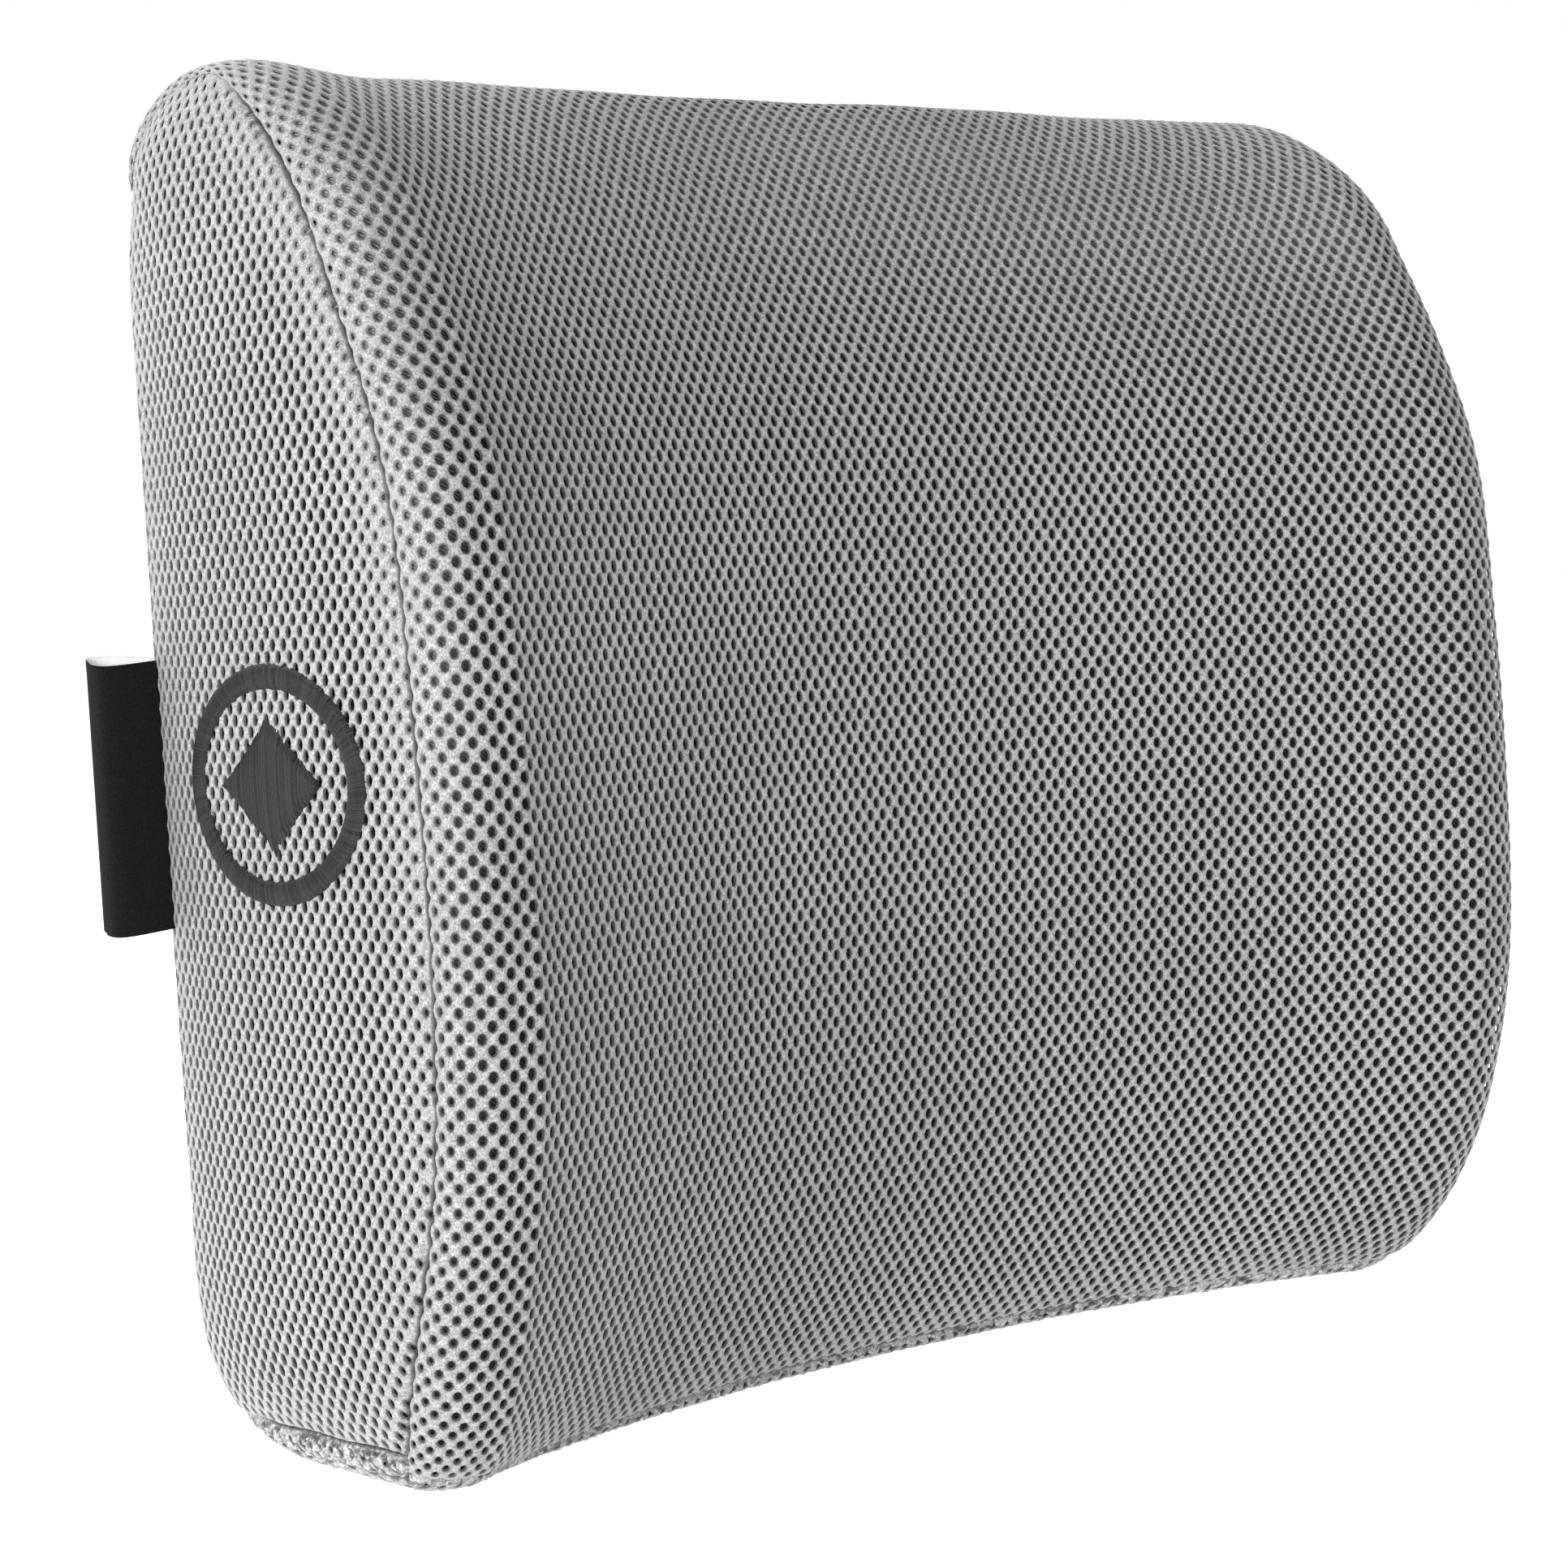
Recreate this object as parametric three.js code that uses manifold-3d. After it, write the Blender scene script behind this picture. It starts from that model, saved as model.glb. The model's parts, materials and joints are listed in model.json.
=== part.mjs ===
// Lumbar support cushion: moulded memory foam in a liner and a zipped spacer-mesh cover,
// with a webbing strap and a side-release buckle across the back.
//
// Millimetres, +Z up. X runs across the cushion, -Y is the side that the user's back
// rests against, +Y is the side that rests against the chair. The origin is the middle
// of the flat foot, halfway between the sides.
import * as THREE from 'three';
import Module from 'manifold-3d';
import { mergeVertices } from 'three/addons/utils/BufferGeometryUtils.js';

const wasm = await Module();
wasm.setup();

// Cushion form. A depth is measured forwards from the plane of the back.
const SEAM_WIDTH = 338;
const HEIGHT = 318;
const BACK_Y = 40;
const FOOT_REAR_DEPTH = 34;
const FOOT_FRONT_DEPTH = 70;
const FOOT_VALLEY_DEPTH = 24;
const TOP_DEPTH = 37;
const CREST_DEPTHS = [[0, 92], [0.2, 114], [0.35, 120], [0.55, 119], [0.72, 113], [0.88, 91], [1, 72]];
const VALLEY_DEPTH = 41;
const VALLEY_SHARES = [[0, 0.94], [0.35, 1], [1, 0.64]];
const FRONT_TOP_ROUND = 37;
const FRONT_FOOT_ROUND = 54;
const BACK_TOP_ROUND = 19;
const BACK_FOOT_ROUND = 28;
const TOP_POWER = 2.05;
const FRONT_FOOT_POWER = 2.8;
const BACK_POWER = 2.2;
const EDGE_RUN = 18;
const FRONT_EDGE_DROP = 11;
const BACK_EDGE_DROP = 2.5;
const TOP_EDGE_DROP = 4;
const SIDE_BOW = 4;

// Layers, from outside in
const GAP = 0.3;
const COVER_THICKNESS = 3;
const LINER_INSET = 4.4;
const LINER_THICKNESS = 0.6;
const FOAM_INSET = LINER_INSET + LINER_THICKNESS + GAP;
const LINER_SLIT = { halfLength: 110, halfWidth: 1.5, z: 62 };

// Cover seams
const FOOT_SEAM_Z = 8;
const TOP_SEAM_Z = 296;
const ZIP_Z = 62;
const ZIP_SLOT_HALF = 7;
const SEAM_TRIM = 0.0015;
const STRIP_COLUMNS = 17;

// Zip
const TAPE_HALF_LENGTH = 150;
const TAPE_WIDTH = 17;
const TAPE_THICKNESS = 0.7;
const TAPE_Y = BACK_Y - COVER_THICKNESS - GAP - TAPE_THICKNESS;
const CHAIN_HALF_GAP = 0.15;
const CHAIN_WIDTH = 2.45;
const CHAIN_HEIGHT = 2;
const CHAIN_Y = TAPE_Y + TAPE_THICKNESS + GAP;
const CHAIN_FROM = -140.7;
const CHAIN_TO = 138.2;
const STOP_LENGTH = 2.5;
const SLIDER_X = 132;
const SLIDER_LENGTH = 10;
const SLIDER_WALL = 1.2;
const BRIDGE_SPAN = 7;
const BRIDGE_WIDTH = 2;
const BRIDGE_WALL = 1;
const PULL_THICKNESS = 1;
const PULL_LENGTH = 25;
const PULL_WIDTH = 7;

// Strap and buckle
const STRAP_Z = 214;
const WEBBING_WIDTH = 25;
const WEBBING_THICKNESS = 1.1;
const KEEPER_UNDERSIDE = 0.6;
const RUN_Y = BACK_Y + GAP + KEEPER_UNDERSIDE + GAP + WEBBING_THICKNESS / 2;
const SECOND_LAYER_Y = RUN_Y + WEBBING_THICKNESS + GAP;
const STRAP_END_X = 166;
const BAR_RADIUS = 1.6;
const LOOP_RADIUS = BAR_RADIUS + GAP + WEBBING_THICKNESS / 2;
const BAR_Y = SECOND_LAYER_Y + LOOP_RADIUS;
const BUCKLE_HALF_WIDTH = 17;
const BUCKLE_HALF_HEIGHT = 4.2;
const BUCKLE_CORNER = 3;
const WEBBING_CLEARANCE = 0.7;
const HOUSING_FROM = -35.5;
const HOUSING_BAR_X = -40;
const HOUSING_WALL = 1.8;
const HOUSING_REAR_WALL = 6;
const LADDER_BAR_X = 12;
const MALE_FROM = 0.6;
const MALE_TO = 24;
const MALE_RIM = 3.4;
const TONGUE = { halfWidth: 2.6, halfHeight: 1.2 };
const MALE_HALF_HEIGHT = 1.7;
const PRONG_ROOT_X = -1;
const PRONG_LENGTH = 24;
const PRONG_Z = 9.5;
const PRONG_WIDTH = 2.6;
const BARB_REACH = 5.2;
const TAIL_TO = 98;
const KEEPER_X = 74;
const KEEPER_LENGTH = 10;
const KEEPER_WALL = 0.9;

// Labels and emblem
const LABEL_HEIGHT = 62;
const LABEL_Z = 156;
const LABEL_REACH = 18;
const LABEL_THICKNESS = 0.7;
const LABEL_FOLD = 1;
const LABEL_Y = BACK_Y - 3;
const CARE_LABEL = { width: 32, height: 42, thickness: 0.5, x: 150, z: 110 };
const EMBLEM = { depth: 59.5, z: 158.5, halfDepth: 34, halfHeight: 26.5, band: 5.5, thickness: 1 };
const LOZENGE_SHARE = 0.56;

const FABRIC = { color: 0xb4b4b2, roughness: 0.95, metalness: 0 };
const FOAM = { color: 0xf0e9d8, roughness: 0.9, metalness: 0 };
const LINER = { color: 0xf5f5f3, roughness: 0.9, metalness: 0 };
const BLACK_WEBBING = { color: 0x17181a, roughness: 0.8, metalness: 0 };
const BLACK_PLASTIC = { color: 0x141414, roughness: 0.45, metalness: 0 };
const THREAD = { color: 0x3d3f41, roughness: 0.5, metalness: 0 };
const GREY_TAPE = { color: 0x8b8c8c, roughness: 0.85, metalness: 0 };
const ZIP_COIL = { color: 0x77797a, roughness: 0.5, metalness: 0 };
const ZIP_METAL = { color: 0x9a9c9e, roughness: 0.35, metalness: 1 };
const LABEL_SATIN = { color: 0xf2f2ee, roughness: 0.5, metalness: 0 };

const object = new THREE.Group();

function add(name, geometry, finish) {
  const mesh = new THREE.Mesh(geometry, new THREE.MeshStandardMaterial(finish));
  mesh.name = name;
  object.add(mesh);
}

// ---------------------------------------------------------------- form of the cushion

// A smooth curve through [t, value] points, with each slope taken from its neighbours.
function smoothThrough(points, t) {
  const last = points.length - 1;
  const slope = (i) => {
    const a = points[Math.max(i - 1, 0)];
    const b = points[Math.min(i + 1, last)];
    return (b[1] - a[1]) / (b[0] - a[0]);
  };
  let k = 0;
  while (k < last - 1 && t > points[k + 1][0]) k += 1;
  const span = points[k + 1][0] - points[k][0];
  const s = THREE.MathUtils.clamp((t - points[k][0]) / span, 0, 1);
  return (1 + 2 * s) * (1 - s) ** 2 * points[k][1]
    + s * (1 - s) ** 2 * span * slope(k)
    + s * s * (3 - 2 * s) * points[k + 1][1]
    + s * s * (s - 1) * span * slope(k + 1);
}

// 0 on the flat of the cushion, rising to 1 at the side seam along a quarter round.
function edgeRound(x) {
  const run = THREE.MathUtils.clamp((Math.abs(x) - SEAM_WIDTH / 2 + EDGE_RUN) / EDGE_RUN, 0, 1);
  return 1 - Math.sqrt(1 - run * run);
}

// 1 along the height, falling to 0 at the foot and the top with a round of its own at each.
function endRound(u, footRound, footPower, topRound, topPower) {
  const foot = Math.max(0, (footRound - u * HEIGHT) / footRound);
  const top = Math.max(0, (topRound - (1 - u) * HEIGHT) / topRound);
  return (1 - foot ** footPower) ** (1 / footPower) * (1 - top ** topPower) ** (1 / topPower);
}

// 1 in the middle of the cushion, falling to 0 at the crests of its two wings.
function valleyAcross(x) {
  return 1 - Math.min(Math.abs(x) / (SEAM_WIDTH / 2 - EDGE_RUN), 1) ** 2;
}

function footFrontDepth(x) {
  return FOOT_FRONT_DEPTH - FOOT_VALLEY_DEPTH * valleyAcross(x);
}

function frontDepth(x, u) {
  const valley = VALLEY_DEPTH * smoothThrough(VALLEY_SHARES, u) * valleyAcross(x);
  const face = smoothThrough(CREST_DEPTHS, u) - valley - FRONT_EDGE_DROP * edgeRound(x);
  const inner = THREE.MathUtils.lerp(footFrontDepth(x), TOP_DEPTH, u);
  const share = endRound(u, FRONT_FOOT_ROUND, FRONT_FOOT_POWER, FRONT_TOP_ROUND, TOP_POWER);
  return inner + (face - inner) * share;
}

function backDepth(x, u) {
  const inner = THREE.MathUtils.lerp(FOOT_REAR_DEPTH, TOP_DEPTH, u);
  const face = BACK_EDGE_DROP * edgeRound(x);
  return inner + (face - inner) * endRound(u, BACK_FOOT_ROUND, BACK_POWER, BACK_TOP_ROUND, BACK_POWER);
}

// A point of the section at x, as (y, z). The station s runs up the back from 0 to 1,
// down the front from 1 to 2 and back along the foot from 2 to 3.
function sectionPoint(x, s) {
  const low = TOP_EDGE_DROP * edgeRound(x);
  const high = HEIGHT - low;
  if (s > 2) {
    const depth = THREE.MathUtils.lerp(footFrontDepth(x), FOOT_REAR_DEPTH, s - 2);
    return new THREE.Vector2(BACK_Y - depth, low);
  }
  const u = (1 - Math.cos(Math.PI * s)) / 2;
  const depth = s <= 1 ? backDepth(x, u) : frontDepth(x, u);
  return new THREE.Vector2(BACK_Y - depth, low + (high - low) * u);
}

function backStation(z) {
  return Math.acos(1 - 2 * z / HEIGHT) / Math.PI;
}

// A point of the section at x, moved square to the section's outline towards the inside.
function insetPoint(x, s, inset) {
  const step = 0.004;
  const before = sectionPoint(x, (s - step + 3) % 3);
  const after = sectionPoint(x, (s + step) % 3);
  const along = after.sub(before).normalize();
  return sectionPoint(x, s).add(new THREE.Vector2(-along.y, along.x).multiplyScalar(inset));
}

// How far a side face bows out at a depth and a height.
function sideBow(y, z) {
  const u = THREE.MathUtils.clamp(z / HEIGHT, 0, 1);
  const rim = SEAM_WIDTH / 2;
  const front = frontDepth(rim, u);
  const back = backDepth(rim, u);
  const across = THREE.MathUtils.clamp((2 * (BACK_Y - y) - front - back) / Math.max(front - back, 1), -1, 1);
  return SIDE_BOW * (1 - across * across) * (1 - (2 * u - 1) ** 4);
}

// ---------------------------------------------------------------- mesh building

function geometryFrom(points, triangles) {
  let volume = 0;
  for (const [a, b, c] of triangles) {
    volume += points[a].dot(new THREE.Vector3().crossVectors(points[b], points[c]));
  }
  const facing = volume < 0 ? triangles.map(([a, b, c]) => [a, c, b]) : triangles;
  const geometry = new THREE.BufferGeometry().setFromPoints(points);
  geometry.setIndex(facing.flat());
  return geometry;
}

// A shell between two grids of points with the same rows and columns.
function shellBetween(outer, inner) {
  const rows = outer.length;
  const columns = outer[0].length;
  const points = [...outer.flat(), ...inner.flat()];
  const under = rows * columns;
  const triangles = [];
  const quad = (a, b, c, d) => triangles.push([a, b, c], [a, c, d]);
  for (let i = 0; i < rows - 1; i += 1) {
    for (let j = 0; j < columns - 1; j += 1) {
      const a = i * columns + j;
      quad(a, a + 1, a + columns + 1, a + columns);
      quad(under + a, under + a + columns, under + a + columns + 1, under + a + 1);
    }
  }
  const edge = [];
  for (let j = 0; j < columns - 1; j += 1) edge.push(j);
  for (let i = 0; i < rows - 1; i += 1) edge.push(i * columns + columns - 1);
  for (let j = columns - 1; j > 0; j -= 1) edge.push((rows - 1) * columns + j);
  for (let i = rows - 1; i > 0; i -= 1) edge.push(i * columns);
  edge.forEach((a, k) => {
    const b = edge[(k + 1) % edge.length];
    quad(a, under + a, under + b, b);
  });
  return geometryFrom(points, triangles);
}

// A solid skinned over a row of closed rings, ending in a point at each end.
function ringSolid(start, rings, end) {
  const count = rings[0].length;
  const points = [start, ...rings.flat(), end];
  const triangles = [];
  const at = (ring, k) => 1 + ring * count + (k % count);
  for (let k = 0; k < count; k += 1) {
    triangles.push([0, at(0, k), at(0, k + 1)]);
    triangles.push([points.length - 1, at(rings.length - 1, k + 1), at(rings.length - 1, k)]);
    for (let ring = 0; ring < rings.length - 1; ring += 1) {
      triangles.push([at(ring, k), at(ring + 1, k), at(ring + 1, k + 1)]);
      triangles.push([at(ring, k), at(ring + 1, k + 1), at(ring, k + 1)]);
    }
  }
  return geometryFrom(points, triangles);
}

// A solid skinned over closed rings that follow each other round a closed path.
function torusSolid(rings) {
  const count = rings[0].length;
  const triangles = [];
  const at = (ring, k) => (ring % rings.length) * count + (k % count);
  for (let ring = 0; ring < rings.length; ring += 1) {
    for (let k = 0; k < count; k += 1) {
      triangles.push([at(ring, k), at(ring + 1, k), at(ring + 1, k + 1)]);
      triangles.push([at(ring, k), at(ring + 1, k + 1), at(ring, k + 1)]);
    }
  }
  return geometryFrom(rings.flat(), triangles);
}

function block(x, y, z) {
  const geometry = new THREE.BoxGeometry(x[1] - x[0], y[1] - y[0], z[1] - z[0]);
  return geometry.translate((x[0] + x[1]) / 2, (y[0] + y[1]) / 2, (z[0] + z[1]) / 2);
}

function roundedRectangle(width, height, radius) {
  const shape = new THREE.Shape();
  const w = width / 2;
  const h = height / 2;
  shape.absarc(w - radius, h - radius, radius, 0, Math.PI / 2);
  shape.absarc(-w + radius, h - radius, radius, Math.PI / 2, Math.PI);
  shape.absarc(-w + radius, -h + radius, radius, Math.PI, Math.PI * 1.5);
  shape.absarc(w - radius, -h + radius, radius, Math.PI * 1.5, Math.PI * 2);
  return shape;
}

// A shape drawn in x and z, as a plate from one y to another.
function plateXZ(shape, fromY, toY, curveSegments = 4) {
  const options = { depth: toY - fromY, bevelEnabled: false, curveSegments };
  return new THREE.ExtrudeGeometry(shape, options).rotateX(Math.PI / 2).translate(0, toY, 0);
}

// A shape drawn in y and z, as a bar from one x to another.
function barYZ(shape, fromX, toX) {
  const axes = new THREE.Matrix4().makeBasis(
    new THREE.Vector3(0, 1, 0),
    new THREE.Vector3(0, 0, 1),
    new THREE.Vector3(1, 0, 0),
  );
  const options = { depth: toX - fromX, bevelEnabled: false, curveSegments: 4 };
  return new THREE.ExtrudeGeometry(shape, options).applyMatrix4(axes).translate(fromX, 0, 0);
}

// Webbing or ribbon: its middle line drawn in x and y, standing along z.
function ribbon(line, thickness, width, middleZ) {
  const sides = [[], []];
  line.forEach((point, i) => {
    const before = line[Math.max(i - 1, 0)];
    const after = line[Math.min(i + 1, line.length - 1)];
    const along = after.clone().sub(before).normalize();
    const across = new THREE.Vector2(-along.y, along.x).multiplyScalar(thickness / 2);
    sides[0].push(point.clone().add(across));
    sides[1].unshift(point.clone().sub(across));
  });
  const shape = new THREE.Shape([...sides[0], ...sides[1]]);
  const geometry = new THREE.ExtrudeGeometry(shape, { depth: width, bevelEnabled: false });
  return geometry.translate(0, 0, middleZ - width / 2);
}

// Points on an arc about a centre, ready for a ribbon's line.
function arcPoints(centreX, centreY, radius, from, to, count) {
  return Array.from({ length: count + 1 }, (_, i) => {
    const angle = THREE.MathUtils.lerp(from, to, i / count);
    return new THREE.Vector2(centreX + radius * Math.cos(angle), centreY + radius * Math.sin(angle));
  });
}

function solid(geometry) {
  const bare = geometry.clone();
  bare.deleteAttribute('normal');
  bare.deleteAttribute('uv');
  const merged = mergeVertices(bare, 1e-4);
  const vertProperties = Float32Array.from(merged.attributes.position.array);
  const triVerts = Uint32Array.from(merged.index.array);
  return new wasm.Manifold(new wasm.Mesh({ numProp: 3, vertProperties, triVerts }));
}

function geometryOf(manifold) {
  const mesh = manifold.getMesh();
  const geometry = new THREE.BufferGeometry();
  geometry.setAttribute('position', new THREE.BufferAttribute(Float32Array.from(mesh.vertProperties), 3));
  geometry.setIndex(Array.from(mesh.triVerts));
  return geometry;
}

function joined(...geometries) {
  return geometries.map(solid).reduce((whole, piece) => whole.add(piece));
}

// ---------------------------------------------------------------- cover, liner and foam

// Columns across the cushion, closer together where the edges round over.
function columns(count, halfWidth) {
  return Array.from({ length: count + 1 }, (_, i) => halfWidth * Math.sin(Math.PI * (i / count - 0.5)));
}

// A panel of the strip that wraps round the cushion, from one station to another.
function stripPanel(from, to, rows) {
  const stations = [];
  for (let i = 0; i <= rows; i += 1) {
    stations.push(THREE.MathUtils.lerp(from + SEAM_TRIM, to - SEAM_TRIM, i / rows));
  }
  return stripShell(stations);
}

// The cover's thickness of cloth along a row of stations, from one side seam to the other.
function stripShell(stations) {
  const grid = (inset) => columns(STRIP_COLUMNS, SEAM_WIDTH / 2).map((x) => stations.map((s) => {
    const point = insetPoint(x, s >= 3 ? s - 3 : s, inset);
    return new THREE.Vector3(x, point.x, point.y);
  }));
  return shellBetween(grid(0), grid(COVER_THICKNESS));
}

// The section's outline at x as a ring of points, inset by a distance.
function sectionRing(x, inset, perSide) {
  const stations = [];
  for (let i = 0; i < perSide * 2; i += 1) stations.push(i / perSide);
  stations.push(2, 2.5);
  return stations.map((s) => {
    const point = insetPoint(x, s, inset);
    return new THREE.Vector3(x, point.x, point.y);
  });
}

// Rings that close a section down to its middle, on a face bowed out along x.
function faceRings(ring, x, side, scales) {
  const middle = new THREE.Vector3();
  ring.forEach((point) => middle.addScaledVector(point, 1 / ring.length));
  const place = (point) => new THREE.Vector3(side * (x + sideBow(point.y, point.z)), point.y, point.z);
  const rings = scales.map((scale) => ring.map((point) => place(middle.clone().lerp(point, scale))));
  return { rings, centre: place(middle) };
}

function sidePanel(side) {
  const ring = sectionRing(SEAM_WIDTH / 2, COVER_THICKNESS + 2 * GAP, 20);
  const scales = [0.25, 0.5, 0.75, 1];
  const outer = faceRings(ring, SEAM_WIDTH / 2, side, scales);
  const inner = faceRings(ring, SEAM_WIDTH / 2 - COVER_THICKNESS, side, scales);
  return ringSolid(outer.centre, [...outer.rings, ...inner.rings.reverse()], inner.centre);
}

const FOOT_REAR_SEAM = backStation(FOOT_SEAM_Z);
const FOOT_FRONT_SEAM = 2 - FOOT_REAR_SEAM;
const TOP_SEAM = backStation(TOP_SEAM_Z);

// The foot panel runs from the front seam down to the flat foot and up to the rear seam.
function footPanel() {
  const steps = 3;
  const stations = [];
  for (let i = 0; i <= steps; i += 1) {
    stations.push(THREE.MathUtils.lerp(FOOT_FRONT_SEAM + SEAM_TRIM, 2, i / steps));
  }
  for (let i = 0; i <= steps; i += 1) {
    stations.push(3 + THREE.MathUtils.lerp(0, FOOT_REAR_SEAM - SEAM_TRIM, i / steps));
  }
  return stripShell(stations);
}

// A closed body that follows the cushion's form at an inset.
function innerBody(inset) {
  const halfWidth = SEAM_WIDTH / 2 - inset;
  const scales = [0.4, 0.75];
  const left = faceRings(sectionRing(-halfWidth, inset, 10), halfWidth, -1, scales);
  const right = faceRings(sectionRing(halfWidth, inset, 10), halfWidth, 1, scales);
  const wraps = columns(10, halfWidth).map((x) => sectionRing(x, inset, 10));
  return ringSolid(left.centre, [...left.rings, ...wraps, ...right.rings.reverse()], right.centre);
}

function innerLiner() {
  const slit = block(
    [-LINER_SLIT.halfLength, LINER_SLIT.halfLength],
    [BACK_Y - FOAM_INSET - 1, BACK_Y],
    [LINER_SLIT.z - LINER_SLIT.halfWidth, LINER_SLIT.z + LINER_SLIT.halfWidth],
  );
  const outside = solid(innerBody(LINER_INSET));
  const inside = solid(innerBody(LINER_INSET + LINER_THICKNESS));
  return geometryOf(outside.subtract(inside).subtract(solid(slit)));
}

add('foam_core', innerBody(FOAM_INSET), FOAM);
add('inner_liner', innerLiner(), LINER);
add('cover_front_panel', stripPanel(TOP_SEAM, FOOT_FRONT_SEAM, 30), FABRIC);
add('cover_back_panel_upper', stripPanel(backStation(ZIP_Z + ZIP_SLOT_HALF), TOP_SEAM, 5), FABRIC);
add('cover_back_panel_lower', stripPanel(FOOT_REAR_SEAM, backStation(ZIP_Z - ZIP_SLOT_HALF), 3), FABRIC);
add('cover_foot_panel', footPanel(), FABRIC);
add('cover_side_panel_left', sidePanel(-1), FABRIC);
add('cover_side_panel_right', sidePanel(1), FABRIC);

// ---------------------------------------------------------------- zip

function addZip() {
  const y = [TAPE_Y, TAPE_Y + TAPE_THICKNESS];
  const chainY = [CHAIN_Y, CHAIN_Y + CHAIN_HEIGHT];
  for (const [name, side] of [['upper', 1], ['lower', -1]]) {
    const band = (from, to) => [ZIP_Z + side * from, ZIP_Z + side * to].sort((a, b) => a - b);
    const chainZ = band(CHAIN_HALF_GAP, CHAIN_HALF_GAP + CHAIN_WIDTH);
    const tapeZ = band(CHAIN_HALF_GAP, TAPE_WIDTH);
    add(`zip_tape_${name}`, block([-TAPE_HALF_LENGTH, TAPE_HALF_LENGTH], y, tapeZ), GREY_TAPE);
    add(`zip_chain_${name}`, block([CHAIN_FROM, CHAIN_TO], chainY, chainZ), ZIP_COIL);
    const stopX = [CHAIN_TO + GAP, CHAIN_TO + GAP + STOP_LENGTH];
    add(`zip_top_stop_${name}`, block(stopX, chainY, chainZ), ZIP_METAL);
  }
  const half = CHAIN_HALF_GAP + CHAIN_WIDTH;
  const stopX = [CHAIN_FROM - GAP - STOP_LENGTH, CHAIN_FROM - GAP];
  add('zip_bottom_stop', block(stopX, chainY, [ZIP_Z - half, ZIP_Z + half]), ZIP_METAL);
}

function zipSlider() {
  const inner = CHAIN_HALF_GAP + CHAIN_WIDTH + GAP;
  const outer = inner + SLIDER_WALL;
  const roof = CHAIN_Y + CHAIN_HEIGHT + GAP;
  const channel = new THREE.Shape([
    new THREE.Vector2(CHAIN_Y, ZIP_Z - outer),
    new THREE.Vector2(roof + SLIDER_WALL, ZIP_Z - outer),
    new THREE.Vector2(roof + SLIDER_WALL, ZIP_Z + outer),
    new THREE.Vector2(CHAIN_Y, ZIP_Z + outer),
    new THREE.Vector2(CHAIN_Y, ZIP_Z + inner),
    new THREE.Vector2(roof, ZIP_Z + inner),
    new THREE.Vector2(roof, ZIP_Z - inner),
    new THREE.Vector2(CHAIN_Y, ZIP_Z - inner),
  ]);
  const body = barYZ(channel, SLIDER_X - SLIDER_LENGTH / 2, SLIDER_X + SLIDER_LENGTH / 2);
  const top = roof + SLIDER_WALL;
  const z = [ZIP_Z - BRIDGE_WIDTH / 2, ZIP_Z + BRIDGE_WIDTH / 2];
  const crown = top + PULL_THICKNESS + 2 * GAP;
  const reach = BRIDGE_SPAN / 2;
  const rear = block([SLIDER_X - reach, SLIDER_X - reach + BRIDGE_WALL], [top - 0.2, crown + 0.2], z);
  const front = block([SLIDER_X + reach - BRIDGE_WALL, SLIDER_X + reach], [top - 0.2, crown + 0.2], z);
  const arch = block([SLIDER_X - reach, SLIDER_X + reach], [crown, crown + BRIDGE_WALL], z);
  return geometryOf(joined(body, rear, front, arch));
}

// The pull is a plate with two arms, joined by a round bar that turns under the bridge.
function zipPull() {
  const y = CHAIN_Y + CHAIN_HEIGHT + GAP + SLIDER_WALL + GAP;
  const radius = PULL_THICKNESS / 2 + 0.05;
  const shape = roundedRectangle(PULL_LENGTH, PULL_WIDTH, 2.2);
  const plate = plateXZ(shape, y, y + PULL_THICKNESS);
  plate.translate(SLIDER_X + radius - PULL_LENGTH / 2, 0, ZIP_Z);
  const eyeHalf = BRIDGE_WIDTH / 2 + 0.6;
  const eye = block(
    [SLIDER_X - BRIDGE_SPAN / 2 - 1.2, SLIDER_X + 1],
    [y - 1, y + PULL_THICKNESS + 1],
    [ZIP_Z - eyeHalf, ZIP_Z + eyeHalf],
  );
  const pivot = new THREE.CylinderGeometry(radius, radius, PULL_WIDTH - 1, 12);
  pivot.rotateX(Math.PI / 2).translate(SLIDER_X, y + PULL_THICKNESS / 2, ZIP_Z);
  return geometryOf(solid(plate).subtract(solid(eye)).add(solid(pivot)));
}

addZip();
add('zip_slider', zipSlider(), ZIP_METAL);
add('zip_pull', zipPull(), ZIP_METAL);

// ---------------------------------------------------------------- strap and buckle

// Webbing that comes along the back, wraps a buckle bar and lies back on itself.
// direction is +1 where the webbing comes from +X.
function wrapLine(startX, barX, endX, direction) {
  const slack = 8 * direction;
  const turn = direction > 0 ? [-Math.PI / 2, -Math.PI * 1.5] : [-Math.PI / 2, Math.PI / 2];
  return [
    new THREE.Vector2(startX, SECOND_LAYER_Y),
    ...arcPoints(barX, BAR_Y, LOOP_RADIUS, turn[0], turn[1], 8),
    new THREE.Vector2(barX + slack, BAR_Y + LOOP_RADIUS + 0.4),
    new THREE.Vector2(barX + slack * 1.6, BAR_Y + LOOP_RADIUS),
    new THREE.Vector2(barX + slack * 2.6, SECOND_LAYER_Y + WEBBING_THICKNESS),
    new THREE.Vector2(barX + slack * 3.4, SECOND_LAYER_Y),
    new THREE.Vector2(endX, SECOND_LAYER_Y),
  ];
}

// The strap's run along the back, from its buckle end to the seam, which it follows down.
function runLine(side, buckleX) {
  const line = [new THREE.Vector2(buckleX, RUN_Y)];
  for (let i = 0; i <= 4; i += 1) {
    const x = side * THREE.MathUtils.lerp(SEAM_WIDTH / 2 - EDGE_RUN, STRAP_END_X, i / 4);
    line.push(new THREE.Vector2(x, RUN_Y - backDepth(x, STRAP_Z / HEIGHT)));
  }
  return line;
}

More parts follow.
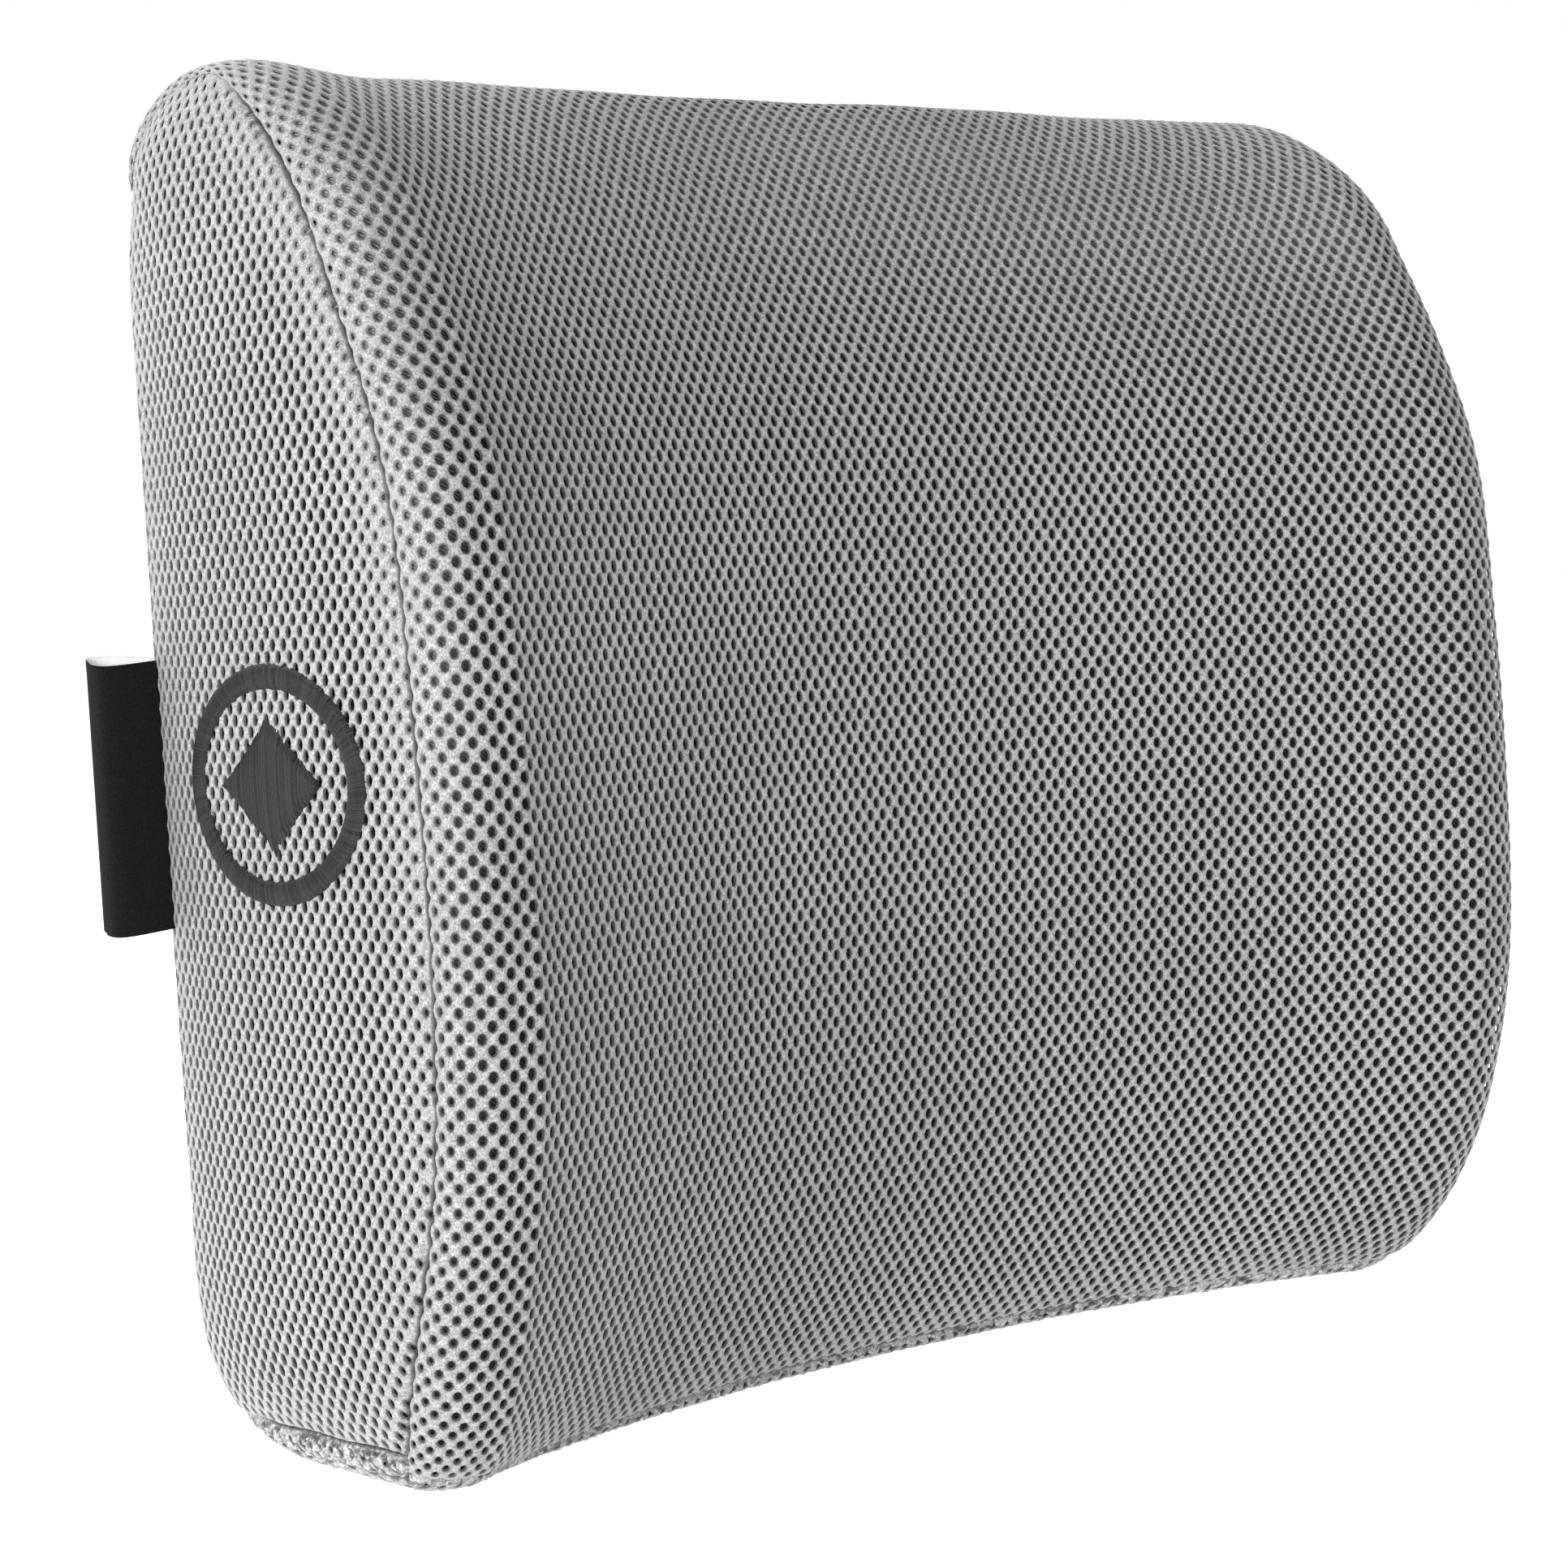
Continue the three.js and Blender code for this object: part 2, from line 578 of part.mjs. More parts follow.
function strapLeft() {
  const line = wrapLine(HOUSING_BAR_X - 14, HOUSING_BAR_X, HOUSING_BAR_X - 40, -1);
  const run = runLine(-1, HOUSING_BAR_X - 22).reverse();
  return ribbon([...run, ...line], WEBBING_THICKNESS, WEBBING_WIDTH, STRAP_Z);
}

function strapRight() {
  return ribbon(runLine(1, LADDER_BAR_X - 1), WEBBING_THICKNESS, WEBBING_WIDTH, STRAP_Z);
}

function strapTail() {
  const line = wrapLine(LADDER_BAR_X + 4, LADDER_BAR_X, TAIL_TO, 1);
  return ribbon(line, WEBBING_THICKNESS, WEBBING_WIDTH, STRAP_Z);
}

function bar(x, length) {
  const geometry = new THREE.CylinderGeometry(BAR_RADIUS, BAR_RADIUS, length, 12);
  return geometry.rotateX(Math.PI / 2).translate(x, BAR_Y, STRAP_Z);
}

// The socket half: two plates joined at the rear, open at its mouth and along both sides.
function buckleHousing() {
  const length = -HOUSING_FROM;
  const shape = roundedRectangle(length, BUCKLE_HALF_WIDTH * 2, BUCKLE_CORNER);
  const body = plateXZ(shape, BAR_Y - BUCKLE_HALF_HEIGHT, BAR_Y + BUCKLE_HALF_HEIGHT);
  body.translate(-length / 2, 0, STRAP_Z);
  const socket = block(
    [HOUSING_FROM + HOUSING_REAR_WALL, 1],
    [BAR_Y - BUCKLE_HALF_HEIGHT + HOUSING_WALL, BAR_Y + BUCKLE_HALF_HEIGHT - HOUSING_WALL],
    [STRAP_Z - BUCKLE_HALF_WIDTH - 1, STRAP_Z + BUCKLE_HALF_WIDTH + 1],
  );
  const armX = [HOUSING_BAR_X - BAR_RADIUS, HOUSING_FROM + 4];
  const armY = [BAR_Y - BAR_RADIUS, BAR_Y + BAR_RADIUS];
  const inner = WEBBING_WIDTH / 2 + WEBBING_CLEARANCE;
  const upper = block(armX, armY, [STRAP_Z + inner, STRAP_Z + BUCKLE_HALF_WIDTH]);
  const lower = block(armX, armY, [STRAP_Z - BUCKLE_HALF_WIDTH, STRAP_Z - inner]);
  const arms = joined(upper, lower, bar(HOUSING_BAR_X, inner * 2 + 2));
  return geometryOf(solid(body).subtract(solid(socket)).add(arms));
}

// The plug half: a frame with the ladder bar that the webbing wraps, and a guide tongue.
function buckleFrame() {
  const shape = roundedRectangle(MALE_TO - MALE_FROM, BUCKLE_HALF_WIDTH * 2, BUCKLE_CORNER);
  const body = plateXZ(shape, BAR_Y - MALE_HALF_HEIGHT, BAR_Y + MALE_HALF_HEIGHT);
  body.translate((MALE_TO + MALE_FROM) / 2, 0, STRAP_Z);
  const inner = WEBBING_WIDTH / 2 + WEBBING_CLEARANCE;
  const window = block(
    [MALE_FROM + MALE_RIM, MALE_TO - MALE_RIM],
    [BAR_Y - 5, BAR_Y + 5],
    [STRAP_Z - inner, STRAP_Z + inner],
  );
  const tongue = block(
    [4 - PRONG_LENGTH, MALE_FROM + 2],
    [BAR_Y - TONGUE.halfHeight, BAR_Y + TONGUE.halfHeight],
    [STRAP_Z - TONGUE.halfWidth, STRAP_Z + TONGUE.halfWidth],
  );
  const frame = solid(body).subtract(solid(window));
  return geometryOf(frame.add(solid(tongue)).add(solid(bar(LADDER_BAR_X, inner * 2 + 2))));
}

// A flexing prong: a slim arm that ends in a barb swelling out to the buckle's side.
function buckleProng(side) {
  const shape = new THREE.Shape();
  shape.absarc(PRONG_ROOT_X, PRONG_Z, PRONG_WIDTH / 2, -Math.PI / 2, Math.PI / 2);
  shape.lineTo(-PRONG_LENGTH * 0.42, PRONG_Z + PRONG_WIDTH / 2);
  shape.quadraticCurveTo(-PRONG_LENGTH * 0.5, PRONG_Z + BARB_REACH, -PRONG_LENGTH * 0.64, PRONG_Z + BARB_REACH);
  shape.quadraticCurveTo(-PRONG_LENGTH * 0.95, PRONG_Z + BARB_REACH, -PRONG_LENGTH, PRONG_Z);
  shape.lineTo(-PRONG_LENGTH, PRONG_Z - PRONG_WIDTH / 2);
  shape.closePath();
  const geometry = plateXZ(shape, BAR_Y - MALE_HALF_HEIGHT, BAR_Y + MALE_HALF_HEIGHT);
  if (side < 0) geometry.rotateX(Math.PI).translate(0, 2 * BAR_Y, 0);
  return geometry.translate(0, 0, STRAP_Z);
}

// The elastic keeper that holds the strap's free tail down on its run.
function strapKeeper() {
  const half = WEBBING_WIDTH / 2 + GAP;
  const low = BACK_Y + GAP;
  const high = SECOND_LAYER_Y + WEBBING_THICKNESS / 2 + GAP;
  const corners = (fromY, toY, reach) => [
    new THREE.Vector2(fromY, STRAP_Z - reach),
    new THREE.Vector2(toY, STRAP_Z - reach),
    new THREE.Vector2(toY, STRAP_Z + reach),
    new THREE.Vector2(fromY, STRAP_Z + reach),
  ];
  const shape = new THREE.Shape(corners(low, high + KEEPER_WALL, half + KEEPER_WALL));
  shape.holes.push(new THREE.Path(corners(low + KEEPER_UNDERSIDE, high, half)));
  return barYZ(shape, KEEPER_X, KEEPER_X + KEEPER_LENGTH);
}

add('strap_left', strapLeft(), BLACK_WEBBING);
add('strap_right', strapRight(), BLACK_WEBBING);
add('strap_tail', strapTail(), BLACK_WEBBING);
add('buckle_housing', buckleHousing(), BLACK_PLASTIC);
add('buckle_frame', buckleFrame(), BLACK_PLASTIC);
add('buckle_prong_upper', buckleProng(1), BLACK_PLASTIC);
add('buckle_prong_lower', buckleProng(-1), BLACK_PLASTIC);
add('strap_keeper', strapKeeper(), BLACK_WEBBING);

// ---------------------------------------------------------------- labels and emblem

// A ribbon folded into a flat loop that stands out of the left rear seam.
function loopLabel() {
  const root = -SEAM_WIDTH / 2 - GAP;
  const bend = root - LABEL_REACH + LABEL_FOLD;
  const line = [
    new THREE.Vector2(root, LABEL_Y + LABEL_FOLD),
    ...arcPoints(bend, LABEL_Y, LABEL_FOLD, Math.PI / 2, Math.PI * 1.5, 6),
    new THREE.Vector2(root, LABEL_Y - LABEL_FOLD),
  ];
  return ribbon(line, LABEL_THICKNESS, LABEL_HEIGHT, LABEL_Z);
}

function careLabel() {
  const { width, height, thickness, x, z } = CARE_LABEL;
  const low = BACK_Y + GAP;
  return block([x - width / 2, x + width / 2], [low, low + thickness], [z - height / 2, z + height / 2]);
}

// A point of the emblem on the bowed left side face, lifted off it.
function emblemPoint(across, up, lift) {
  const y = BACK_Y - EMBLEM.depth + across;
  const z = EMBLEM.z + up;
  return new THREE.Vector3(-(SEAM_WIDTH / 2 + sideBow(y, z) + lift), y, z);
}

function emblemRing() {
  const sides = 40;
  const rings = [];
  for (let i = 0; i < sides; i += 1) {
    const angle = (2 * Math.PI * i) / sides;
    const corner = (band, lift) => emblemPoint(
      (EMBLEM.halfDepth - band) * Math.cos(angle),
      (EMBLEM.halfHeight - band) * Math.sin(angle),
      lift,
    );
    const high = GAP + EMBLEM.thickness;
    rings.push([corner(0, GAP), corner(0, high), corner(EMBLEM.band, high), corner(EMBLEM.band, GAP)]);
  }
  return torusSolid(rings);
}

function emblemLozenge() {
  const corners = [[1, 0], [0, 1], [-1, 0], [0, -1]];
  const outline = [];
  corners.forEach(([a, b], i) => {
    const [c, d] = corners[(i + 1) % corners.length];
    for (const share of [0, 0.25, 0.5, 0.75]) {
      outline.push([a + (c - a) * share, b + (d - b) * share]);
    }
  });
  const ring = (scale, lift) => outline.map(([across, up]) => emblemPoint(
    across * scale * LOZENGE_SHARE * EMBLEM.halfDepth,
    up * scale * LOZENGE_SHARE * EMBLEM.halfHeight,
    lift,
  ));
  const high = GAP + EMBLEM.thickness;
  const rings = [ring(0.5, high), ring(1, high), ring(1, GAP), ring(0.5, GAP)];
  return ringSolid(emblemPoint(0, 0, high), rings, emblemPoint(0, 0, GAP));
}

add('loop_label', loopLabel(), BLACK_WEBBING);
add('care_label', careLabel(), LABEL_SATIN);
add('emblem_ring', emblemRing(), THREAD);
add('emblem_lozenge', emblemLozenge(), THREAD);

export default object;
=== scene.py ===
"""Looks of the lumbar support cushion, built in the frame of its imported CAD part.

The cover is a real net: staggered holes in physical pitch, laid over the cushion's form,
with a darker layer behind them. Form values are in millimetres, as in the CAD part, and
become metres where a mesh is made.
"""

import json
import math

import bmesh
import bpy
import numpy as np
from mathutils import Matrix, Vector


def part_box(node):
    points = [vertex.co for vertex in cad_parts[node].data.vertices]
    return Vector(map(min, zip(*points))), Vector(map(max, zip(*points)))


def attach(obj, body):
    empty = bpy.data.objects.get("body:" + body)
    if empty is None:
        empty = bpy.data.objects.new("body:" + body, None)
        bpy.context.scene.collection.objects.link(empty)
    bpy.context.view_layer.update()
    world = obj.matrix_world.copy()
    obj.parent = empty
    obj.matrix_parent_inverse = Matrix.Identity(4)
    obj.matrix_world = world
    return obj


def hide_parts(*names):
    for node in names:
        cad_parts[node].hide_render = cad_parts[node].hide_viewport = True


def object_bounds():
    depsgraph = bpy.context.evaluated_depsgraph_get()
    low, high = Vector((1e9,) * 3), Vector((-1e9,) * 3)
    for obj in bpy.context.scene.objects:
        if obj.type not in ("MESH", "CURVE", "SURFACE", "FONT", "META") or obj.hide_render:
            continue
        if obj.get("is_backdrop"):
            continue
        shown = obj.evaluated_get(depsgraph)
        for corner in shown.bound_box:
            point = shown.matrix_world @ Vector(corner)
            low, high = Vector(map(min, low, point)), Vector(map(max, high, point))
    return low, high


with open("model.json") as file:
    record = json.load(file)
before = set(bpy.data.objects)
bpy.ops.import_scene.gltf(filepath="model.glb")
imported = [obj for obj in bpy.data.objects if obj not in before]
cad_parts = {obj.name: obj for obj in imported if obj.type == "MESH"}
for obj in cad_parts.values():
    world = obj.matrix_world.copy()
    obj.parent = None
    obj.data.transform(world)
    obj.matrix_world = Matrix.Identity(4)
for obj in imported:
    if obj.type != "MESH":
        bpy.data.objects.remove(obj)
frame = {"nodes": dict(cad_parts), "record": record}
CAD_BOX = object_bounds()

MM = 0.001

# Form of the cushion, as in the CAD part
BACK_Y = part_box("cover_back_panel_upper")[1].y / MM
SEAM_WIDTH = 2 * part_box("cover_front_panel")[1].x / MM
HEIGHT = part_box("cover_front_panel")[1].z / MM
FOOT_REAR_DEPTH = 34
FOOT_FRONT_DEPTH = 70
FOOT_VALLEY_DEPTH = 24
TOP_DEPTH = 37
CREST_DEPTHS = [(0, 92), (0.2, 114), (0.35, 120), (0.55, 119), (0.72, 113), (0.88, 91), (1, 72)]
VALLEY_DEPTH = 41
VALLEY_SHARES = [(0, 0.94), (0.35, 1), (1, 0.64)]
FRONT_TOP_ROUND = 37
FRONT_FOOT_ROUND = 54
BACK_TOP_ROUND = 19
BACK_FOOT_ROUND = 28
TOP_POWER = 2.05
FRONT_FOOT_POWER = 2.8
BACK_POWER = 2.2
EDGE_RUN = 18
FRONT_EDGE_RUN = 12.5
FRONT_EDGE_DROP = 11
BACK_EDGE_DROP = 2.5
TOP_EDGE_DROP = 4
SIDE_BOW = 4
FOOT_SEAM_Z = 8
TOP_SEAM_Z = 296
ZIP_SLOT_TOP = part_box("cover_back_panel_upper")[0].z / MM
ZIP_SLOT_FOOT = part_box("cover_back_panel_lower")[1].z / MM

# Spacer mesh
COLUMN_PITCH = 4.2
ROW_PITCH = 2.7
HOLE_WIDTH = 1.55
HOLE_HEIGHT = 2.2
LIP_DEPTH = 0.65
FUNNEL = (2.3, 3.1, -0.08)
BACKING_DEPTH = 2.2
PRESSED_DEPTH = 0.75
PRESSED_REACH = 10
BACKING_GRID = 4
SEAM_DIP = 0.7
SEAM_REACH = 3.2
CREASE_DIP = 2.4
CREASE_REACH = 0.55
CLOSED_BORDER = 0.4
CLOSING_BORDER = 17
ROLL_TOP = 11
PLUMP = 1.3
WIDEN = 2.2
TUCK = 3
TUCK_REACH = 7
CORNER_LIFT = 2
TOP_SAG = 1.4
FOOT_TUCK = 9
FOOT_TUCK_HEIGHT = 50
FRONT_FOOT_SEAM_Z = 2.5


# ---- camera, light and floor

VIEW_CENTRE = np.array([0, BACK_Y - 50, 160])
VIEW_AZIMUTH = math.radians(-40.7)
VIEW_ELEVATION = math.radians(2.16)
VIEW_ROLL = math.radians(-3.32)
VIEW_DISTANCE = 918
VIEW_PAN = (-18.6, -14)
LENS = 84.2
SENSOR_WIDTH = 36
# Each lamp's place and size in metres, and its power in watts.
LAMPS = {
    "key": ((-1.7, -0.7, 0.4), 0.45, 24),
    "front": ((-1.0, -1.7, 0.12), 1.0, 15),
    "top": ((-0.3, 0.9, 1.9), 1.4, 24),
    "back": ((0.8, 1.8, 1.2), 1.6, 5),
}
LAMP_AIM = np.array([0, 0, 0.15])
# The room is white at eye height and dimmer overhead and to the front right.
DIM_SIDE = (0.18, -0.66, 0.73)
DIM_SPAN = {"From Min": 0.1, "From Max": 0.85, "To Min": 1.0, "To Max": 0.15}
FLOOR_REACH = 15.0
FLOOR_GLOW = 0.9


def unit(vectors):
    return vectors / np.maximum(np.linalg.norm(vectors, axis=-1, keepdims=True), 1e-9)


def in_scene(name, data):
    thing = bpy.data.objects.new(name, data)
    bpy.context.scene.collection.objects.link(thing)
    return thing


def face(thing, place, aim, roll=0.0):
    """Puts a camera or a lamp at place, turned towards aim, both in metres."""
    forward = unit(aim - place)
    level = unit(np.cross(forward, [0, 0, 1]))
    side = level * math.cos(roll) + np.cross(level, forward) * math.sin(roll)
    matrix = np.eye(4)
    matrix[:3, :3] = np.stack([side, np.cross(side, forward), -forward], -1)
    matrix[:3, 3] = place
    thing.matrix_world = matrix.T.tolist()


def set_camera():
    """A camera at the photo's angle, aimed a little aside of the cushion's middle."""
    right = np.array([math.cos(VIEW_AZIMUTH), math.sin(VIEW_AZIMUTH), 0])
    level = math.cos(VIEW_ELEVATION)
    away = np.array([right[1] * level, -right[0] * level, math.sin(VIEW_ELEVATION)])
    aim = VIEW_CENTRE + right * VIEW_PAN[0] + np.array([0, 0, VIEW_PAN[1]])
    data = bpy.data.cameras.new("camera")
    data.lens = LENS
    data.sensor_width = SENSOR_WIDTH
    data.clip_start = 0.05
    data.clip_end = 50
    camera = in_scene("camera", data)
    face(camera, (VIEW_CENTRE + away * VIEW_DISTANCE) * MM, aim * MM, VIEW_ROLL)
    bpy.context.scene.camera = camera


def set_studio():
    bpy.context.scene.view_settings.view_transform = "Standard"
    world = bpy.data.worlds.new("studio")
    bpy.context.scene.world = world
    nodes = Nodes(world, "Background")
    direction = nodes.add("TexCoord", {}).outputs["Generated"]
    towards = nodes.add("VectorMath", {0: direction, 1: DIM_SIDE}, operation="DOT_PRODUCT")
    fall = nodes.add("MapRange", {"Value": towards.outputs["Value"], **DIM_SPAN})
    nodes.set(Color=(1, 1, 1, 1), Strength=fall.outputs["Result"])
    for name, (place, size, power) in LAMPS.items():
        data = bpy.data.lights.new(name, "AREA")
        data.size = size
        data.energy = power
        face(in_scene(name, data), np.array(place), LAMP_AIM)


def add_floor():
    corners = [(x * FLOOR_REACH, y * FLOOR_REACH, 0) for x, y in ((-1, -1), (1, -1), (1, 1), (-1, 1))]
    mesh = bpy.data.meshes.new("floor")
    mesh.from_pydata(corners, [], [(0, 1, 2, 3)])
    nodes = Nodes("floor")
    noise = nodes.add("TexNoise", {"Scale": 3}).outputs["Fac"]
    tone = nodes.ramp(noise, [(0, grey(0.94)), (1, grey(0.97))])
    nodes.set(Base_Color=tone, Emission_Color=tone, Emission_Strength=FLOOR_GLOW, Roughness=0.8)
    mesh.materials.append(nodes.material)
    in_scene("floor", mesh)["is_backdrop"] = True


# ---- form of the cushion


def smooth_through(points, t):
    """A smooth curve through (t, value) points, each slope taken from its neighbours."""
    at, value = np.array(points, float).T
    last = len(at) - 1
    before = np.maximum(np.arange(-1, last), 0)
    after = np.minimum(np.arange(1, last + 2), last)
    slope = (value[after] - value[before]) / (at[after] - at[before])
    k = np.clip(np.searchsorted(at, t, side="right") - 1, 0, last - 1)
    span = at[k + 1] - at[k]
    s = np.clip((t - at[k]) / span, 0, 1)
    return (
        (1 + 2 * s) * (1 - s) ** 2 * value[k]
        + s * (1 - s) ** 2 * span * slope[k]
        + s * s * (3 - 2 * s) * value[k + 1]
        + s * s * (s - 1) * span * slope[k + 1]
    )


def run_of(points):
    """How far along a line each of its points lies."""
    steps = np.linalg.norm(np.diff(points, axis=0), axis=1)
    return np.concatenate([[0], np.cumsum(steps)])


def edge_round(x, reach=EDGE_RUN):
    """0 on the flat of the cushion, rising to 1 at the side seam along a quarter round."""
    run = np.clip((np.abs(x) - SEAM_WIDTH / 2 + reach) / reach, 0, 1)
    return 1 - np.sqrt(1 - run * run)


def end_round(u, foot_round, foot_power, top_round, top_power):
    foot = np.clip((foot_round - u * HEIGHT) / foot_round, 0, 1)
    top = np.clip((top_round - (1 - u) * HEIGHT) / top_round, 0, 1)
    return (1 - foot**foot_power) ** (1 / foot_power) * (1 - top**top_power) ** (1 / top_power)


def valley_across(x):
    """1 in the middle of the cushion, falling to 0 at the crests of its two wings."""
    return 1 - np.minimum(np.abs(x) / (SEAM_WIDTH / 2 - EDGE_RUN), 1) ** 2


def foot_front_depth(x):
    return FOOT_FRONT_DEPTH - FOOT_VALLEY_DEPTH * valley_across(x)


def front_depth(x, u):
    valley = VALLEY_DEPTH * smooth_through(VALLEY_SHARES, u) * valley_across(x)
    face = smooth_through(CREST_DEPTHS, u) - valley - FRONT_EDGE_DROP * edge_round(x, FRONT_EDGE_RUN)
    inner = foot_front_depth(x) * (1 - u) + TOP_DEPTH * u
    share = end_round(u, FRONT_FOOT_ROUND, FRONT_FOOT_POWER, FRONT_TOP_ROUND, TOP_POWER)
    return inner + (face - inner) * share


def back_depth(x, u):
    inner = FOOT_REAR_DEPTH * (1 - u) + TOP_DEPTH * u
    face = BACK_EDGE_DROP * edge_round(x)
    share = end_round(u, BACK_FOOT_ROUND, BACK_POWER, BACK_TOP_ROUND, BACK_POWER)
    return inner + (face - inner) * share


def section_point(x, s):
    """Points of the sections at x. The station s runs up the back from 0 to 1, down the
    front from 1 to 2, back along the foot from 2 to 3, and on up the back from 3."""
    s = np.where(s > 3, s - 3, s)
    u = (1 - np.cos(np.pi * s)) / 2
    low = TOP_EDGE_DROP * edge_round(x)
    depth = np.where(s <= 1, back_depth(x, u), front_depth(x, u))
    z = low + (HEIGHT - 2 * low) * u
    along = s - 2
    foot = foot_front_depth(x) * (1 - along) + FOOT_REAR_DEPTH * along
    depth = np.where(s > 2, foot, depth)
    z = np.where(s > 2, low, z)
    return np.stack([x, BACK_Y - depth, z], -1)


def back_station(z):
    return math.acos(1 - 2 * z / HEIGHT) / math.pi


def side_bow(y, z):
    """How far a side face bows out at a depth and a height."""
    u = np.clip(z / HEIGHT, 0, 1)
    rim = np.full_like(u, SEAM_WIDTH / 2)
    front = front_depth(rim, u)
    back = back_depth(rim, u)
    across = np.clip((2 * (BACK_Y - y) - front - back) / np.maximum(front - back, 1), -1, 1)
    return SIDE_BOW * (1 - across**2) * (1 - (2 * u - 1) ** 4)


def slack(x, y, z):
    """The slight unevenness of a cover that is stretched over foam."""
    return (
        0.35 * np.sin(x / 23 + z / 41 + 1.3) * np.sin(z / 29 - y / 37)
        + 0.22 * np.sin(x / 13 - z / 17 + 0.4) * np.sin(y / 19 + z / 23 + 2.1)
        + 0.12 * np.sin(x / 7.3 + 0.7) * np.sin(z / 8.9 + y / 9.7)
    )


# ---- panels of the cover


class StripPanel:
    """A panel of the strip that wraps round the cushion, laid out in millimetres: a runs
    across the cushion and b along the strip."""

    def __init__(self, start, end, reference):
        fine = 1200
        self.x = SEAM_WIDTH / 2 * np.sin(np.linspace(-np.pi / 2, np.pi / 2, fine))
        self.a = run_of(section_point(self.x, np.full(fine, reference)))
        self.a -= self.a[-1] / 2
        self.s = np.linspace(start, end, fine)
        across = np.array([0, 0.5, 1]) * (SEAM_WIDTH / 2 - EDGE_RUN)
        self.b = np.mean([run_of(section_point(np.full(fine, x), self.s)) for x in across], 0)
        self.low = np.array([self.a[0], self.b[0]])
        self.high = np.array([self.a[-1], self.b[-1]])

    def surface(self, a, b):
        return section_point(np.interp(a, self.a, self.x), np.interp(b, self.b, self.s))

    def margins(self, a, b):
        """How far a point is inside the nearest seam and the nearest side seam."""
        side = np.minimum(a - self.low[0], self.high[0] - a)
        end = np.minimum(b - self.low[1], self.high[1] - b)
        return np.minimum(side, end), side

    def clamp(self, a, b):
        """The point moved inside the panel, with its margins."""
        a = np.clip(a, self.low[0], self.high[0])
        b = np.clip(b, self.low[1], self.high[1])
        return a, b, *self.margins(a, b)


def cut_outline(outline, height, keep):
    """The part of a closed outline above a height (keep 1) or below it (keep -1)."""
    result = []
    for here, after in zip(outline, np.roll(outline, -1, axis=0)):
        if keep * (here[1] - height) >= 0:
            result.append(here)
        if (here[1] - height) * (after[1] - height) < 0:
            share = (height - here[1]) / (after[1] - here[1])
            result.append(here + (after - here) * share)
    return np.array(result)


class SidePanel:
    """A side panel, laid out in millimetres: a runs from back to front and b upwards."""

    def __init__(self, side, foot, top):
        self.side = side
        s = np.concatenate([np.linspace(0, 2, 700, endpoint=False), np.linspace(2, 3, 40, endpoint=False)])
        rim = section_point(np.full(len(s), SEAM_WIDTH / 2), s)
        rim = np.stack([BACK_Y - rim[:, 1], rim[:, 2]], -1)
        self.rim = cut_outline(cut_outline(rim, foot, 1), top, -1)
        self.low = self.rim.min(0)
        self.high = self.rim.max(0)

    def surface(self, a, b):
        y = BACK_Y - a
        x = self.side * (SEAM_WIDTH / 2 + side_bow(y, b))
        return np.stack([x, y, b], -1)

    def margins(self, a, b):
        """How far a point is inside the rim, negative outside it, and the rim's nearest point."""
        p = np.stack([a, b], -1)
        start = self.rim
        step = np.roll(self.rim, -1, axis=0) - start
        length = np.maximum((step**2).sum(1), 1e-9)
        distances = []
        nearest = []
        for q in np.array_split(p[:, None, :], len(p) // 4000 + 1):
            share = np.clip(((q - start) * step).sum(2) / length, 0, 1)
            foot = start + share[..., None] * step
            gap = ((q - foot) ** 2).sum(2)
            closest = (np.arange(len(q)), gap.argmin(1))
            above = start[:, 1] > q[..., 1]
            crosses = above != np.roll(above, -1, axis=1)
            with np.errstate(divide="ignore", invalid="ignore"):
                at = start[:, 0] + (q[..., 1] - start[:, 1]) / step[:, 1] * step[:, 0]
            inside = (crosses & (q[..., 0] < at)).sum(1) % 2 == 1
            distances.append(np.where(inside, 1, -1) * np.sqrt(gap[closest]))
            nearest.append(foot[closest])
        return np.concatenate(distances), np.concatenate(nearest)

    def clamp(self, a, b):
        distance, nearest = self.margins(a, b)
        a, b = np.where(distance < 0, nearest.T, (a, b))
        distance = np.maximum(distance, 0)
        return a, b, distance, distance


def normals(panel, a, b):
    step = 0.25
    across = panel.surface(a + step, b) - panel.surface(a - step, b)
    along = panel.surface(a, b + step) - panel.surface(a, b - step)
    return unit(np.cross(across, along))


def pressed(side, z):
    """How far the spacer mesh is pressed flat, from 0 to 1: along side seams and over the top."""
    near = np.exp(-((side / PRESSED_REACH) ** 1.6)) * (0.3 + 0.7 * ease(z, 80, 240))
    high = np.clip((z - 225) / 80, 0, 1) ** 1.5
    return 1 - (1 - near) * (1 - 0.85 * high)


def ease(value, start, end):
    """0 before start, 1 after end and a smooth step between them; start may be the larger."""
    share = np.clip((value - start) / (end - start), 0, 1)
    return share * share * (3 - 2 * share)


def settled(points, edge):
    """The form's points as the stuffed cover holds them: sides swollen, foot corners and
    top seams tucked in, the left top corner raised and the rest of the top sagged."""
    x, y, z = points.T
    depth = BACK_Y - y
    out = ease(np.abs(x), 120, 168)
    tuck = TUCK * ease(depth, 58, 28) * ease(z, 270, 308) * np.exp(-((edge / TUCK_REACH) ** 2))
    tuck = tuck + FOOT_TUCK * np.clip(1 - z / FOOT_TUCK_HEIGHT, 0, 1) ** 2
    corner = ease(-x, 125, 165)
    lift = ease(z, 225, 316) * (CORNER_LIFT * corner - TOP_SAG * (1 - corner)) * ease(depth, 5, 30)
    return np.stack([x + np.sign(x) * out * (WIDEN - tuck), y, z + lift], -1)


